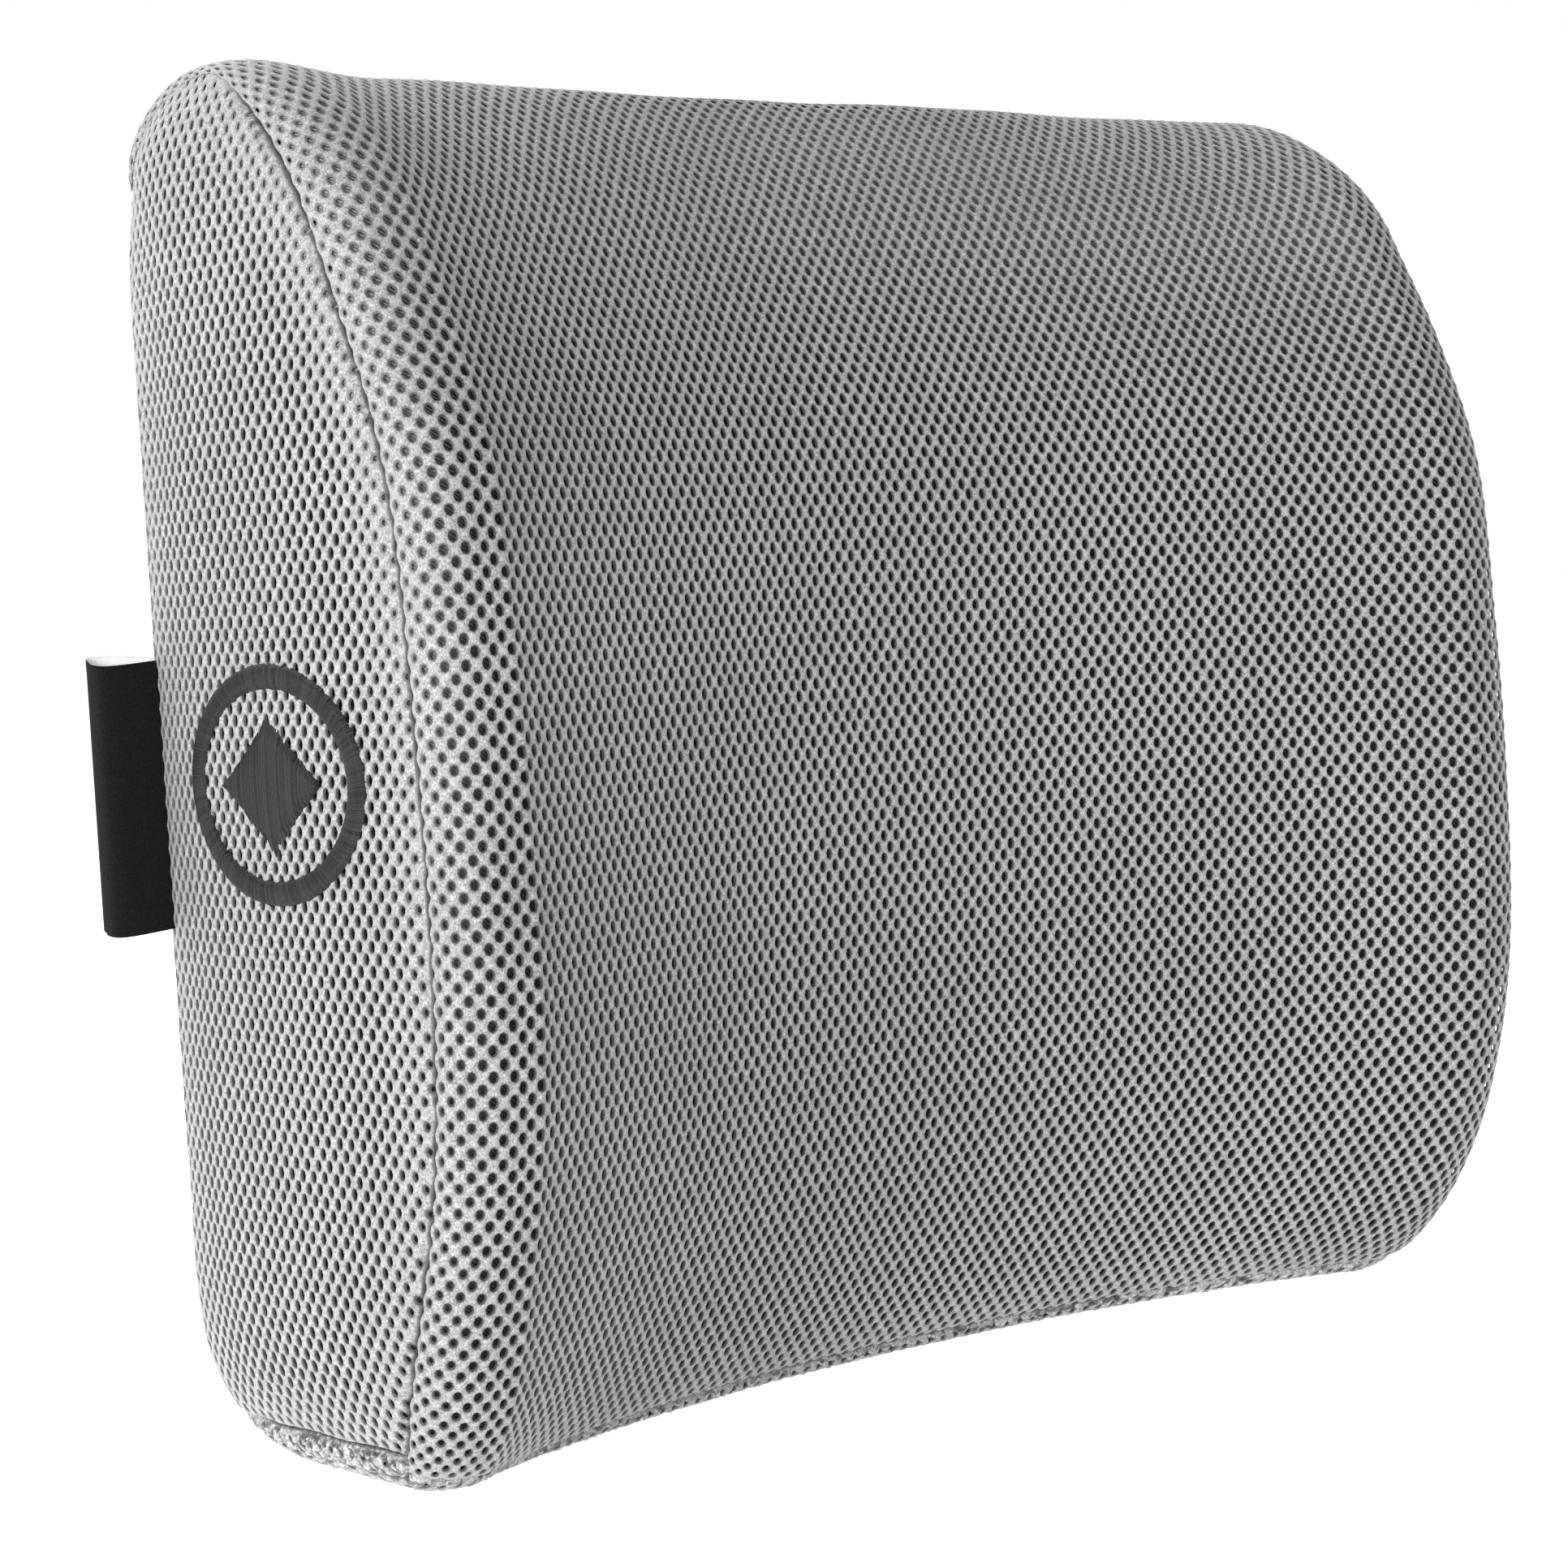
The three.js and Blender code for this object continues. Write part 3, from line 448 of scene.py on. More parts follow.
def lifted(panel, a, b, height, floor, outward):
    """Points of the panel at a height above the form, which is drawn towards floor where the
    mesh is pressed flat, with the panel's edges drawn into the seams."""
    a, b, edge, side = panel.clamp(a, b)
    # Normals are taken a little inside the panel, where both neighbours exist.
    middle = (panel.low + panel.high) / 2
    normal = normals(panel, a + (middle[0] - a) * 0.004, b + (middle[1] - b) * 0.004) * outward
    points = panel.surface(a, b)
    x, y, z = points.T
    depth = BACK_Y - y
    uneven = slack(x, y, z) * np.minimum(edge / 12, 1)
    press = pressed(side, z)
    height = height + (floor - height) * press
    # Creases are deepest at the foot and the top, and shallow where the seam is the outline.
    tight = 0.45 + 0.55 * np.clip(np.abs(z - 140) / 130, 0, 1) ** 1.5
    pull = 1 + 0.4 * np.sin(z / 1.9 + x / 2.3) * np.sin(y / 4.1 + z / 5.7)
    hidden = np.maximum(ease(depth, 24, 8) * ease(z, 300, 280), ease(depth, 56, 44) * ease(z, 280, 300))
    hidden = hidden * (side <= edge)
    crease = CREASE_DIP * tight * (1 - 0.8 * hidden) * pull * np.exp(-edge / CREASE_REACH)
    dip = SEAM_DIP * np.exp(-((edge / SEAM_REACH) ** 2)) + crease
    plump = PLUMP * ease(depth, 6, 30) * ease(z, 0, 25) * ease(z, 316, 285)
    points = settled(points, edge) + normal * (height + uneven + plump - dip)[:, None]
    # What the cushion stands on presses its foot flat.
    points[:, 2] = np.maximum(points[:, 2], 0.02 - 0.1 * np.minimum(height, 0))
    return points, edge + 2 * hidden, press


def outward_sign(panel):
    """+1 where the panel's own normal already points out of the cushion."""
    a, b = ((panel.low + panel.high) / 2)[:, None]
    out = panel.surface(a, b)[0] - np.array([0, BACK_Y - 45, HEIGHT / 2])
    return 1 if normals(panel, a, b)[0] @ out > 0 else -1


def mesh_object(name, points, faces, attributes):
    """A smooth mesh object from points in millimetres and a list of equal-length face arrays."""
    loops = np.concatenate([f.ravel() for f in faces]).astype(np.int32)
    sizes = np.concatenate([np.full(len(f), f.shape[1]) for f in faces])
    mesh = bpy.data.meshes.new(name)
    mesh.vertices.add(points.size // 3)
    mesh.vertices.foreach_set("co", (points * MM).astype(np.float32).ravel())
    mesh.loops.add(len(loops))
    mesh.loops.foreach_set("vertex_index", loops)
    mesh.polygons.add(len(sizes))
    mesh.polygons.foreach_set("loop_start", (np.cumsum(sizes) - sizes).astype(np.int32))
    mesh.update(calc_edges=True)
    mesh.polygons.foreach_set("use_smooth", np.full(len(sizes), True))
    for key, values in attributes.items():
        kind, field = ("FLOAT", "value") if values.ndim == 1 else ("FLOAT_VECTOR", "vector")
        layer = mesh.attributes.new(key, kind, "POINT")
        layer.data.foreach_set(field, values.astype(np.float32).ravel())
    return in_scene(name, mesh)


def looped(index, axis):
    """A grid of vertex numbers with its first line again at its end."""
    return np.concatenate([index, index.take([0], axis)], axis)


def grid_quads(index):
    return np.stack([index[:-1, :-1], index[1:, :-1], index[1:, 1:], index[:-1, 1:]], -1).reshape(-1, 4)


# One hole's cell, as rings of (across, along, height) seen from the hole's middle. The
# border is a hexagon with a point added in the middle of five of its sides.
HALF = COLUMN_PITCH / 2
TIP = (HALF**2 + ROW_PITCH**2) / (2 * ROW_PITCH)
SHOULDER = ROW_PITCH - TIP
QUARTER = [(0, TIP, 0.02), (HALF / 2, (TIP + SHOULDER) / 2, -0.08), (HALF, SHOULDER, 0.02), (HALF, 0, 0.15)]
RIGHT_SIDE = QUARTER + [(a, -b, z) for a, b, z in QUARTER[2::-1]]
BORDER = np.array(RIGHT_SIDE + [(-a, b, z) for a, b, z in RIGHT_SIDE[5:0:-1]])
RING_SIDES = 8
# Border corners that meet each ring side, going clockwise from the top.
RING_CORNERS = [(0, 1), (1, 2, 3), (3, 4, 5), (5, 6), (6, 7), (7, 8, 9), (9, 10, 11), (11, 0)]


def ring(width, height, z):
    angles = np.pi / 2 - 2 * np.pi * np.arange(RING_SIDES) / RING_SIDES
    return np.stack([width / 2 * np.cos(angles), height / 2 * np.sin(angles), np.full(RING_SIDES, z)], -1)


def net(name, panel, crush):
    """The panel's outer face: a staggered net of round-lipped holes that close at seams.
    A crushed net, as in the rolled edge of the foot, is uneven and nearly closed."""
    pitch = np.array([COLUMN_PITCH, ROW_PITCH])
    spans = zip(np.floor(panel.low / pitch) - 1, np.ceil(panel.high / pitch) + 2)
    column, row = np.meshgrid(*(np.arange(low, high) for low, high in spans), indexing="ij")
    centre_a = ((column + 0.5 * (row % 2)) * COLUMN_PITCH).ravel()
    centre_b = (row * ROW_PITCH).ravel()
    inside = panel.margins(centre_a, centre_b)[0]
    kept = inside > -HALF * 1.05
    centre_a, centre_b, inside = centre_a[kept], centre_b[kept], inside[kept]
    count = len(centre_a)
    open_share = np.clip((inside - CLOSED_BORDER) / (CLOSING_BORDER - CLOSED_BORDER), 0, 1)
    random = np.random.default_rng(7)
    size = (0.58 + 0.42 * open_share) * random.uniform(0.92, 1.07, count) * (1 - 0.4 * crush)
    shift = random.normal(0, 0.07, (count, 2))
    is_hole = inside > CLOSED_BORDER

    border_a = centre_a[:, None] + BORDER[:, 0]
    border_b = centre_b[:, None] + BORDER[:, 1]
    key = np.round(border_a * 100) * 1_000_000 + np.round(border_b * 100)
    _, first, index = np.unique(key, return_index=True, return_inverse=True)
    border_index = index.reshape(border_a.shape)
    flat_height = np.broadcast_to(BORDER[:, 2], border_a.shape).ravel()[first]
    coordinates = [np.stack([border_a.ravel()[first], border_b.ravel()[first], flat_height], -1)]
    total = len(first)

    holes = np.flatnonzero(is_hole)
    rings = []
    for shape, scaled in ((ring(*FUNNEL), 0.25), (ring(HOLE_WIDTH, HOLE_HEIGHT, -LIP_DEPTH), 1)):
        scale = 1 + (size[holes] - 1) * scaled
        a = centre_a[holes, None] + shape[:, 0] * scale[:, None] + shift[holes, :1]
        b = centre_b[holes, None] + shape[:, 1] * scale[:, None] + shift[holes, 1:]
        z = np.broadcast_to(shape[:, 2], a.shape)
        rings.append(total + np.arange(a.size).reshape(a.shape))
        coordinates.append(np.stack([a, b, z], -1).reshape(-1, 3))
        total += a.size
    flat = np.concatenate(coordinates)

    faces = []
    outer, inner = rings
    for side in range(RING_SIDES):
        after = (side + 1) % RING_SIDES
        corners = [border_index[holes][:, c] for c in RING_CORNERS[side]]
        faces.append(np.stack([*corners, outer[:, after], outer[:, side]], -1))
        faces.append(np.stack([outer[:, side], outer[:, after], inner[:, after], inner[:, side]], -1))
    faces.append(border_index[~is_hole])

    flat[:, 2] += crush * random.normal(0, 0.3, total)
    sign = outward_sign(panel)
    floor = np.maximum(flat[:, 2], -0.4 * LIP_DEPTH)
    points, edge, press = lifted(panel, flat[:, 0], flat[:, 1], flat[:, 2], floor, sign)
    if sign > 0:
        faces = [f[:, ::-1] for f in faces]
    # Cells that the seam cuts lose the faces that shrank to nothing on it.
    sound = []
    for f in faces:
        p = points[f]
        area = np.linalg.norm(np.cross(p[:, 2] - p[:, 0], p[:, -1] - p[:, 1]), axis=1)
        sound.append(f[area > 1e-3])
    # relief, the height within a hole's cell, and the third part of weave, the distance to the seam, let
    # the material paint shade down the holes and along the seams.
    weave = np.stack([flat[:, 0], flat[:, 1], edge], -1)
    crushed = np.full(total, float(crush))
    attributes = {"weave": weave, "relief": flat[:, 2], "press": press, "crush": crushed}
    return mesh_object(name, points, sound, attributes)


def backing(name, panel):
    """The spacer mesh's inner face, seen dimly through the holes of the outer one."""
    columns, rows = (max(2, round(v)) for v in (panel.high - panel.low) / BACKING_GRID)
    if isinstance(panel, StripPanel):
        lines = [np.linspace(panel.low[k], panel.high[k], n + 1) for k, n in ((0, columns), (1, rows))]
        a, b = np.meshgrid(*lines, indexing="ij")
    else:
        # Rows of the side panel run from its back edge to its front edge at each height.
        heights = np.linspace(panel.low[1] + 0.3, panel.high[1] - 0.3, rows + 1)
        back, front = np.transpose([rim_span(panel, h) for h in heights])
        share = np.linspace(0, 1, columns + 1)[:, None]
        a = back + (front - back) * share
        b = np.broadcast_to(heights, a.shape)
    quads = grid_quads(np.arange(a.size).reshape(a.shape))
    a, b = a.ravel(), b.ravel()
    sign = outward_sign(panel)
    points, edge, press = lifted(panel, a, b, -BACKING_DEPTH, -PRESSED_DEPTH, sign)
    if sign < 0:
        quads = quads[:, ::-1]
    weave = np.stack([a, b, edge], -1)
    # press also makes the material paint the backing lighter where the holes are shallow.
    return mesh_object(name, points, [quads], {"weave": weave, "press": press})


def rim_span(panel, height):
    """The rim's depth at a height, at its back and its front."""
    z = panel.rim[:, 1]
    after = np.roll(z, -1)
    crossing = np.flatnonzero((z > height) != (after > height))
    share = (height - z[crossing]) / (after[crossing] - z[crossing])
    depth = panel.rim[crossing, 0] * (1 - share) + np.roll(panel.rim[:, 0], -1)[crossing] * share
    return depth.min(), depth.max()


# ---- materials


class Nodes:
    """A short way to write the node tree of a new material, or of the world."""

    def __init__(self, owner, shader="Principled BSDF"):
        self.material = bpy.data.materials.new(owner) if isinstance(owner, str) else owner
        self.material.use_nodes = True
        self.tree = self.material.node_tree
        self.shader = self.tree.nodes[shader]

    def fill(self, socket, value):
        if isinstance(value, bpy.types.NodeSocket):
            self.tree.links.new(value, socket)
        else:
            socket.default_value = value

    def add(self, kind, inputs, **settings):
        node = self.tree.nodes.new("ShaderNode" + kind)
        for key, value in settings.items():
            setattr(node, key, value)
        for key, value in inputs.items():
            self.fill(node.inputs[key], value)
        return node

    def set(self, **values):
        for key, value in values.items():
            self.fill(self.shader.inputs[key.replace("_", " ")], value)

    def attribute(self, name, output="Fac"):
        return self.add("Attribute", {}, attribute_name=name).outputs[output]

    def mapped(self, vector, **inputs):
        return self.add("Mapping", {"Vector": vector, **inputs}).outputs["Vector"]

    def along(self, vector, axis):
        return self.add("SeparateXYZ", {"Vector": vector}).outputs[axis]

    def math(self, operation, a, b=0.0, c=0.0):
        return self.add("Math", {0: a, 1: b, 2: c}, operation=operation).outputs[0]

    def weighted(self, *terms):
        """The sum of values times their weights."""
        total = 0.0
        for value, weight in terms:
            total = self.math("MULTIPLY_ADD", value, weight, total)
        return total

    def noise(self, scale, detail=2.0, vector=None):
        """Noise over the given vector, or over the object's own space."""
        if vector is None:
            vector = self.add("TexCoord", {}).outputs["Object"]
        return self.add("TexNoise", {"Vector": vector, "Scale": scale, "Detail": detail}).outputs["Fac"]

    def ramp(self, factor, stops):
        node = self.add("ValToRGB", {"Fac": factor})
        elements = node.color_ramp.elements
        while len(elements) < len(stops):
            elements.new(0.5)
        for element, (place, colour) in zip(elements, stops):
            element.position = place
            element.color = (*colour, 1)
        return node.outputs["Color"]

    def mix(self, factor, dark, light):
        return self.add("Mix", {"Factor": factor, 6: dark, 7: light}, data_type="RGBA").outputs[2]

    def bump(self, height, distance):
        node = self.add("Bump", {"Height": height, "Distance": distance})
        self.tree.links.new(node.outputs["Normal"], self.shader.inputs["Normal"])


def grey(value):
    return (value, value, value)


def net_material():
    """The net's yarn: painted shade inside the holes and along the seams' creases, paler where crushed."""
    nodes = Nodes("mesh_net")
    weave = nodes.attribute("weave", "Vector")
    fibre = nodes.noise(3.2, 4, nodes.mapped(weave, Scale=(1, 0.55, 0)))
    tuft = nodes.noise(1100)
    # The lower half of a hole's wall is in shade, less so where the mesh is pressed flat.
    least = nodes.math("MULTIPLY_ADD", nodes.attribute("press"), 0.55, 0.13)
    span = {"From Min": -0.55 * LIP_DEPTH, "From Max": -0.02, "To Min": least, "To Max": 1}
    depth = nodes.add("MapRange", {"Value": nodes.attribute("relief"), **span}).outputs[0]
    # Painted shade in the seams' creases: the yarn darkens towards the seam line, broken up by noise.
    seam = {"Value": nodes.along(weave, "Z"), "From Max": 0.75, "To Min": 0.02}
    seam_shade = nodes.add("MapRange", seam).outputs[0]
    broken = nodes.math("MULTIPLY_ADD", nodes.noise(110, 1), 2.2, -1.0)
    seam_shade = nodes.math("MINIMUM", nodes.math("MAXIMUM", seam_shade, broken), 1.0)
    shade = nodes.weighted((fibre, 0.62), (tuft, 0.33), (nodes.noise(14), 0.1))
    shade = nodes.math("MULTIPLY", nodes.math("MULTIPLY", shade, depth), seam_shade)
    speck = nodes.math("GREATER_THAN", nodes.noise(900, 1), 0.6)
    speck = nodes.math("MULTIPLY", speck, nodes.attribute("crush"))
    shade = nodes.math("MULTIPLY_ADD", speck, 0.2, shade)
    stops = [(0.1, grey(0.02)), (0.4, grey(0.15)), (0.55, grey(0.32)), (0.72, grey(0.55))]
    colour = nodes.ramp(shade, stops)
    nodes.set(Base_Color=colour, Roughness=0.6, Sheen_Weight=0.2, Sheen_Roughness=0.4)
    nodes.bump(nodes.weighted((fibre, 1.0), (tuft, 0.6)), 0.00016)
    return nodes.material


def backing_material():
    """The inner layer: dark slanting threads, painted lighter as if lit where the mesh is pressed flat and
    its holes are shallow.
    """
    nodes = Nodes("mesh_backing")
    turned = nodes.mapped(nodes.attribute("weave", "Vector"), Rotation=(0, 0, 0.9))
    threads = nodes.add("TexWave", {"Vector": turned, "Scale": 0.42, "Distortion": 2.5, "Detail": 1.5})
    shade = nodes.math("MULTIPLY", threads.outputs["Fac"], nodes.noise(1500))
    # The paler slanting threads are the spacer's pile threads, painted lighter as glints.
    dark = nodes.ramp(shade, [(0.2, grey(0.008)), (0.45, grey(0.02)), (0.62, grey(0.14))])
    light = nodes.ramp(shade, [(0.1, grey(0.2)), (0.55, grey(0.45))])
    # Painted light: the pressed, shallow parts take the lighter copy of the layer, as if more light reached
    # them.
    nodes.set(Base_Color=nodes.mix(nodes.attribute("press"), dark, light), Roughness=0.5)
    nodes.bump(shade, 0.0004)
    return nodes.material


def plain_material(name, dark, light, roughness, scale, bump, metallic=0.0):
    """A moulded, metal or thread surface: two tones of noise with a matching fine bump."""
    nodes = Nodes(name)
    grain = nodes.noise(scale, 3)
    shade = nodes.weighted((grain, 0.6), (nodes.noise(scale / 20), 0.4))
    nodes.set(Base_Color=nodes.ramp(shade, [(0.35, dark), (0.65, light)]), Metallic=metallic)
    nodes.set(Roughness=nodes.math("MULTIPLY_ADD", grain, 0.2, roughness - 0.1))
    nodes.bump(grain, bump)
    return nodes.material


def woven_material(name, dark, light, roughness):
    """Webbing: fine yarns along the band, with painted shade in the hollows of its weave's relief."""
    nodes = Nodes(name)
    weave = nodes.attribute("weave", "Vector")
    yarn = nodes.noise(1.2, 3, nodes.mapped(weave, Scale=(0.8, 5, 0)))
    # Painted shade: the weave's relief, the third part of weave, darkens the band's hollows.
    shade = nodes.weighted((nodes.noise(1500), 0.25), (yarn, 0.35), (nodes.along(weave, "Z"), 0.25))
    nodes.set(Base_Color=nodes.ramp(shade, [(0.1, dark), (0.55, light)]), Roughness=roughness)
    nodes.set(Specular_IOR_Level=0.25)
    nodes.bump(shade, 0.0002)
    return nodes.material


def label_material():
    """The label's ribbon: black satin weave outside, white inside."""
    nodes = Nodes("label")
    yarns = nodes.mapped(nodes.attribute("weave", "Vector"), Rotation=(0, 0, 0.5), Scale=(1, 6, 1))
    shade = nodes.weighted((nodes.noise(1800), 0.5), (nodes.noise(1.4, 2, yarns), 0.5))
    dark = nodes.ramp(shade, [(0.35, grey(0.002)), (0.7, grey(0.012))])
    light = nodes.ramp(shade, [(0.3, grey(0.75)), (0.7, grey(0.9))])
    colour = nodes.mix(nodes.attribute("inside"), dark, light)
    nodes.set(Base_Color=colour, Roughness=0.75, Specular_IOR_Level=0.12)
    nodes.bump(shade, 0.0001)
    return nodes.material


def thread_material():
    """Satin-stitch thread: each thread its own tone of dark grey, with painted shade between threads and a
    soft gloss.
    """
    nodes = Nodes("thread")
    grain = nodes.noise(1400)
    shade = nodes.weighted((nodes.attribute("thread"), 0.5), (grain, 0.3), (nodes.noise(60), 0.2))
    colour = nodes.ramp(shade, [(0.25, grey(0.001)), (0.7, grey(0.03))])
    nodes.set(Base_Color=colour, Roughness=0.42, Specular_IOR_Level=0.16)
    nodes.bump(grain, 0.00005)
    return nodes.material


# ---- strap, label, emblem and zip

STRAP_Z = 214
WEBBING_WIDTH = 25
WEBBING_THICKNESS = 1.1
STEP_BACK = 0.3
RUN_Y = BACK_Y + 2 * STEP_BACK + 0.6 + WEBBING_THICKNESS / 2
SECOND_LAYER_Y = RUN_Y + WEBBING_THICKNESS + STEP_BACK
LOOP_RADIUS = 1.6 + STEP_BACK + WEBBING_THICKNESS / 2
BAR_Y = SECOND_LAYER_Y + LOOP_RADIUS
HOUSING_BAR_X = -40
LADDER_BAR_X = 12
TAIL_TO = 98
STRAP_END_X = 166
# Pitch and depth of each weave's relief.
STRAP_WEAVE = (2.1, 0.3)
KEEPER_WEAVE = (1.1, 0.2)
TAPE_WEAVE = (0.9, 0.1)
CARE_WEAVE = (0.5, 0.03)
CARE_LABEL_THICKNESS = 0.4
CARE_LABEL_CURL = 1.2
KEEPER_THICKNESS = 0.8


def cad_box(node):
    low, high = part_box(node)
    return low / MM, high / MM


def arc(centre, radius, start, end, count):
    angles = np.linspace(start, end, count)
    return [(centre[0] + radius * math.cos(t), centre[1] + radius * math.sin(t)) for t in angles]


def wrap_line(start, bar, end, side):
    """Webbing that comes along the back, wraps a buckle bar and lies back on itself."""
    turn = -1.5 * math.pi if side > 0 else 0.5 * math.pi
    outer = BAR_Y + LOOP_RADIUS
    top = SECOND_LAYER_Y + WEBBING_THICKNESS
    slope = [(8, outer + 0.4), (12.8, outer), (20.8, top), (27.2, SECOND_LAYER_Y)]
    return (
        [(start, SECOND_LAYER_Y)]
        + arc((bar, BAR_Y), LOOP_RADIUS, -0.5 * math.pi, turn, 9)
        + [(bar + side * away, y) for away, y in slope]
        + [(end, SECOND_LAYER_Y)]
    )


def run_line(side, start):
    """The strap's run along the back to the side seam, which it follows down."""
    x = np.linspace(SEAM_WIDTH / 2 - EDGE_RUN, STRAP_END_X, 5)
    y = RUN_Y - back_depth(x, np.full(len(x), STRAP_Z / HEIGHT))
    return [(start, RUN_Y), (side * 100, RUN_Y), *zip(side * x, y)]


def resampled(line, step):
    """Evenly spaced points along a smooth curve through a line's points."""
    at = run_of(line)
    fine = np.linspace(0, at[-1], max(2, round(at[-1] / step)) + 1)
    return np.stack([smooth_through(list(zip(at, v)), fine) for v in np.transpose(line)], -1), fine


def woven(along, across, pitch):
    """Relief of webbing, from -1 to 1: ribs along the band, crossed by crowns that step
    from one rib to the next."""
    rib = np.abs(np.sin(np.pi * across / pitch))
    warp = np.cos(2 * np.pi * along / pitch + np.pi * np.floor(across / pitch) / 2)
    return rib * (0.35 + 0.65 * warp)


def square_to(path):
    """Unit vectors square to a path in x and y."""
    along = unit(np.gradient(path, axis=0))
    return np.stack([-along[:, 1], along[:, 0]], -1)


def ribbon(name, line, middle_z, width, thickness, pitch, depth, step=0.5):
    """A woven band whose middle line is drawn in x and y, standing along z."""
    path, at = resampled(line, step)
    out = square_to(path)
    columns = round(width / step)
    across = np.linspace(-width / 2, width / 2, columns + 1)
    edge = np.clip((width / 2 - np.abs(across)) / (thickness * 0.6), 0, 1)
    half = thickness / 2 * np.sqrt(1 - (1 - edge) ** 2)
    rings = []
    uv = []
    for face, order in ((1, slice(None)), (-1, slice(None, None, -1))):
        v = across[order]
        relief = woven(at[:, None], v[None, :] + width, pitch) * edge[order]
        height = face * (half[order][None, :] + (relief - edge[order]) * depth * 0.5)
        xy = path[:, None, :] + out[:, None, :] * height[..., None]
        z = np.broadcast_to(middle_z + v, height.shape)
        rings.append(np.concatenate([xy, z[..., None]], -1)[:, :-1])
        # The relief rides along with the band's coordinates, and the woven material paints shade in its
        # hollows with it.
        uv.append(np.stack(np.broadcast_arrays(at[:, None], v[None, :], relief), -1)[:, :-1])
    grid = np.concatenate(rings, 1)
    coordinates = np.concatenate(uv, 1)
    rows, count = grid.shape[:2]
    index = np.arange(rows * count).reshape(rows, count)
    # Quads across the band close each end, but for a sliver at either edge.
    k = np.arange(1, count // 2 - 1)
    caps = [index[row][np.stack([k, k + 1, count - 1 - k, count - k], -1)] for row in (0, -1)]
    faces = [grid_quads(looped(index, 1)), caps[0], caps[1][:, ::-1]]
    return outwards(mesh_object(name, grid, faces, {"weave": coordinates}))


def outwards(piece):
    """Turns a closed mesh's faces so that they all point out."""
    work = bmesh.new()
    work.from_mesh(piece.data)
    bmesh.ops.recalc_face_normals(work, faces=work.faces)
    work.to_mesh(piece.data)
    work.free()
    return piece


def capsules(name, segments, radius):
    """Short round-ended threads between pairs of points, such as stitches."""
    sides, stations = 6, 5
    start, end = np.array(segments, float).transpose(1, 0, 2)[:, :, None, None]
    axis = unit(end - start)
    u = unit(np.cross(axis, np.where(np.abs(axis[..., 2:]) < 0.9, [0, 0, 1.0], [1.0, 0, 0])))
    v = np.cross(axis, u)
    t = np.linspace(0, 1, stations)[:, None, None]
    angle = np.linspace(0, 2 * np.pi, sides, endpoint=False)[:, None]
    swell = radius * np.sin(np.pi * (0.06 + 0.88 * t)) ** 0.5
    points = start + (end - start) * t + swell * (u * np.cos(angle) + v * np.sin(angle))
    index = np.arange(points.size // 3).reshape(-1, stations, sides)
    quads = np.concatenate([grid_quads(looped(grid, 1).T) for grid in index])
    caps = np.concatenate([index[:, 0, ::-1], index[:, -1]])
    return mesh_object(name, points, [quads, caps], {})


def stitch_row(start, end, pitch, lift):
    """Stitches of a lockstitch seam along a straight line."""
    start, end = np.array(start, float), np.array(end, float)
    count = max(1, round(np.linalg.norm(end - start) / pitch))
    steps = [start + (end - start) * k / count for k in range(count + 1)]
    away = np.array([0, lift, 0])
    return [(a + (b - a) * 0.12 + away, b - (b - a) * 0.12 + away) for a, b in zip(steps, steps[1:])]


LABEL_THICKNESS = 0.56


def label_loop(name):
    """The folded ribbon in the left rear seam: an open loop, its rear layer a little higher."""
    low, high = cad_box("loop_label")
    middle_y = (low.y + high.y) / 2
    root = -SEAM_WIDTH / 2 + 2
    fold = low.x + 0.2
    count_along, rows = 90, 60
    t = np.linspace(-1, 1, count_along + 1)
    # The front layer runs from the seam to the fold for t below 0, the rear layer back again.
    reach = root + (fold - root) * (1 - np.abs(t) ** 2.6)
    gap = 2.1 * np.sin(np.pi * np.abs(t)).clip(0) ** 0.7 + 0.35
    y = middle_y + np.sign(t) * gap * np.clip(np.abs(t) * 6, 0, 1)
    path = np.stack([reach, y], -1)
    out = square_to(path)
    v = np.linspace(0, 1, rows + 1)
    skew = np.where(t > 0, 1.4, -0.9) * 4 * np.abs(t) * (1 - np.abs(t))
    z = low.z + (high.z - low.z) * v[None, :] + skew[:, None]
    layers = []
    for side in (1, -1):
        xy = (path + out * side * LABEL_THICKNESS / 2)[:, None, :]
        layers.append(np.concatenate([np.broadcast_to(xy, (*z.shape, 2)), z[..., None]], -1))
    points = np.concatenate(layers)
    shift = z.size
    index = np.arange(shift).reshape(z.shape)
    skin = grid_quads(index)
    rim = np.concatenate([index[:-1, 0], index[-1, :-1], index[:0:-1, -1], index[0, :0:-1]])
    after = np.roll(rim, -1)
    border = np.stack([rim, rim + shift, after + shift, after], -1)
    inside = np.concatenate([np.zeros(shift), np.ones(shift)])
    weave = np.stack(np.broadcast_arrays(t[:, None] * 18, z, 0), -1)
    weave = np.concatenate([weave, weave])
    faces = [skin, skin[:, ::-1] + shift, border]
    return outwards(mesh_object(name, points, faces, {"inside": inside, "weave": weave}))


EMBLEM_DEPTH = 59.5
EMBLEM_Z = 158.5
EMBLEM_HALF_DEPTH = 34
EMBLEM_HALF_HEIGHT = 26.5
EMBLEM_BAND = 5.5
LOZENGE_SHARE = 0.56
THREAD_PITCH = 0.5
THREAD_SAMPLES = 4


def on_left_side(across, up, lift):
    """Points on the left side panel about the emblem's middle, lifted off the net."""
    y = BACK_Y - EMBLEM_DEPTH + across
    z = EMBLEM_Z + up
    x = -SEAM_WIDTH / 2 - side_bow(y, z)
    return np.stack([x - slack(x, y, z) - WIDEN - PLUMP - lift, y, z], -1)


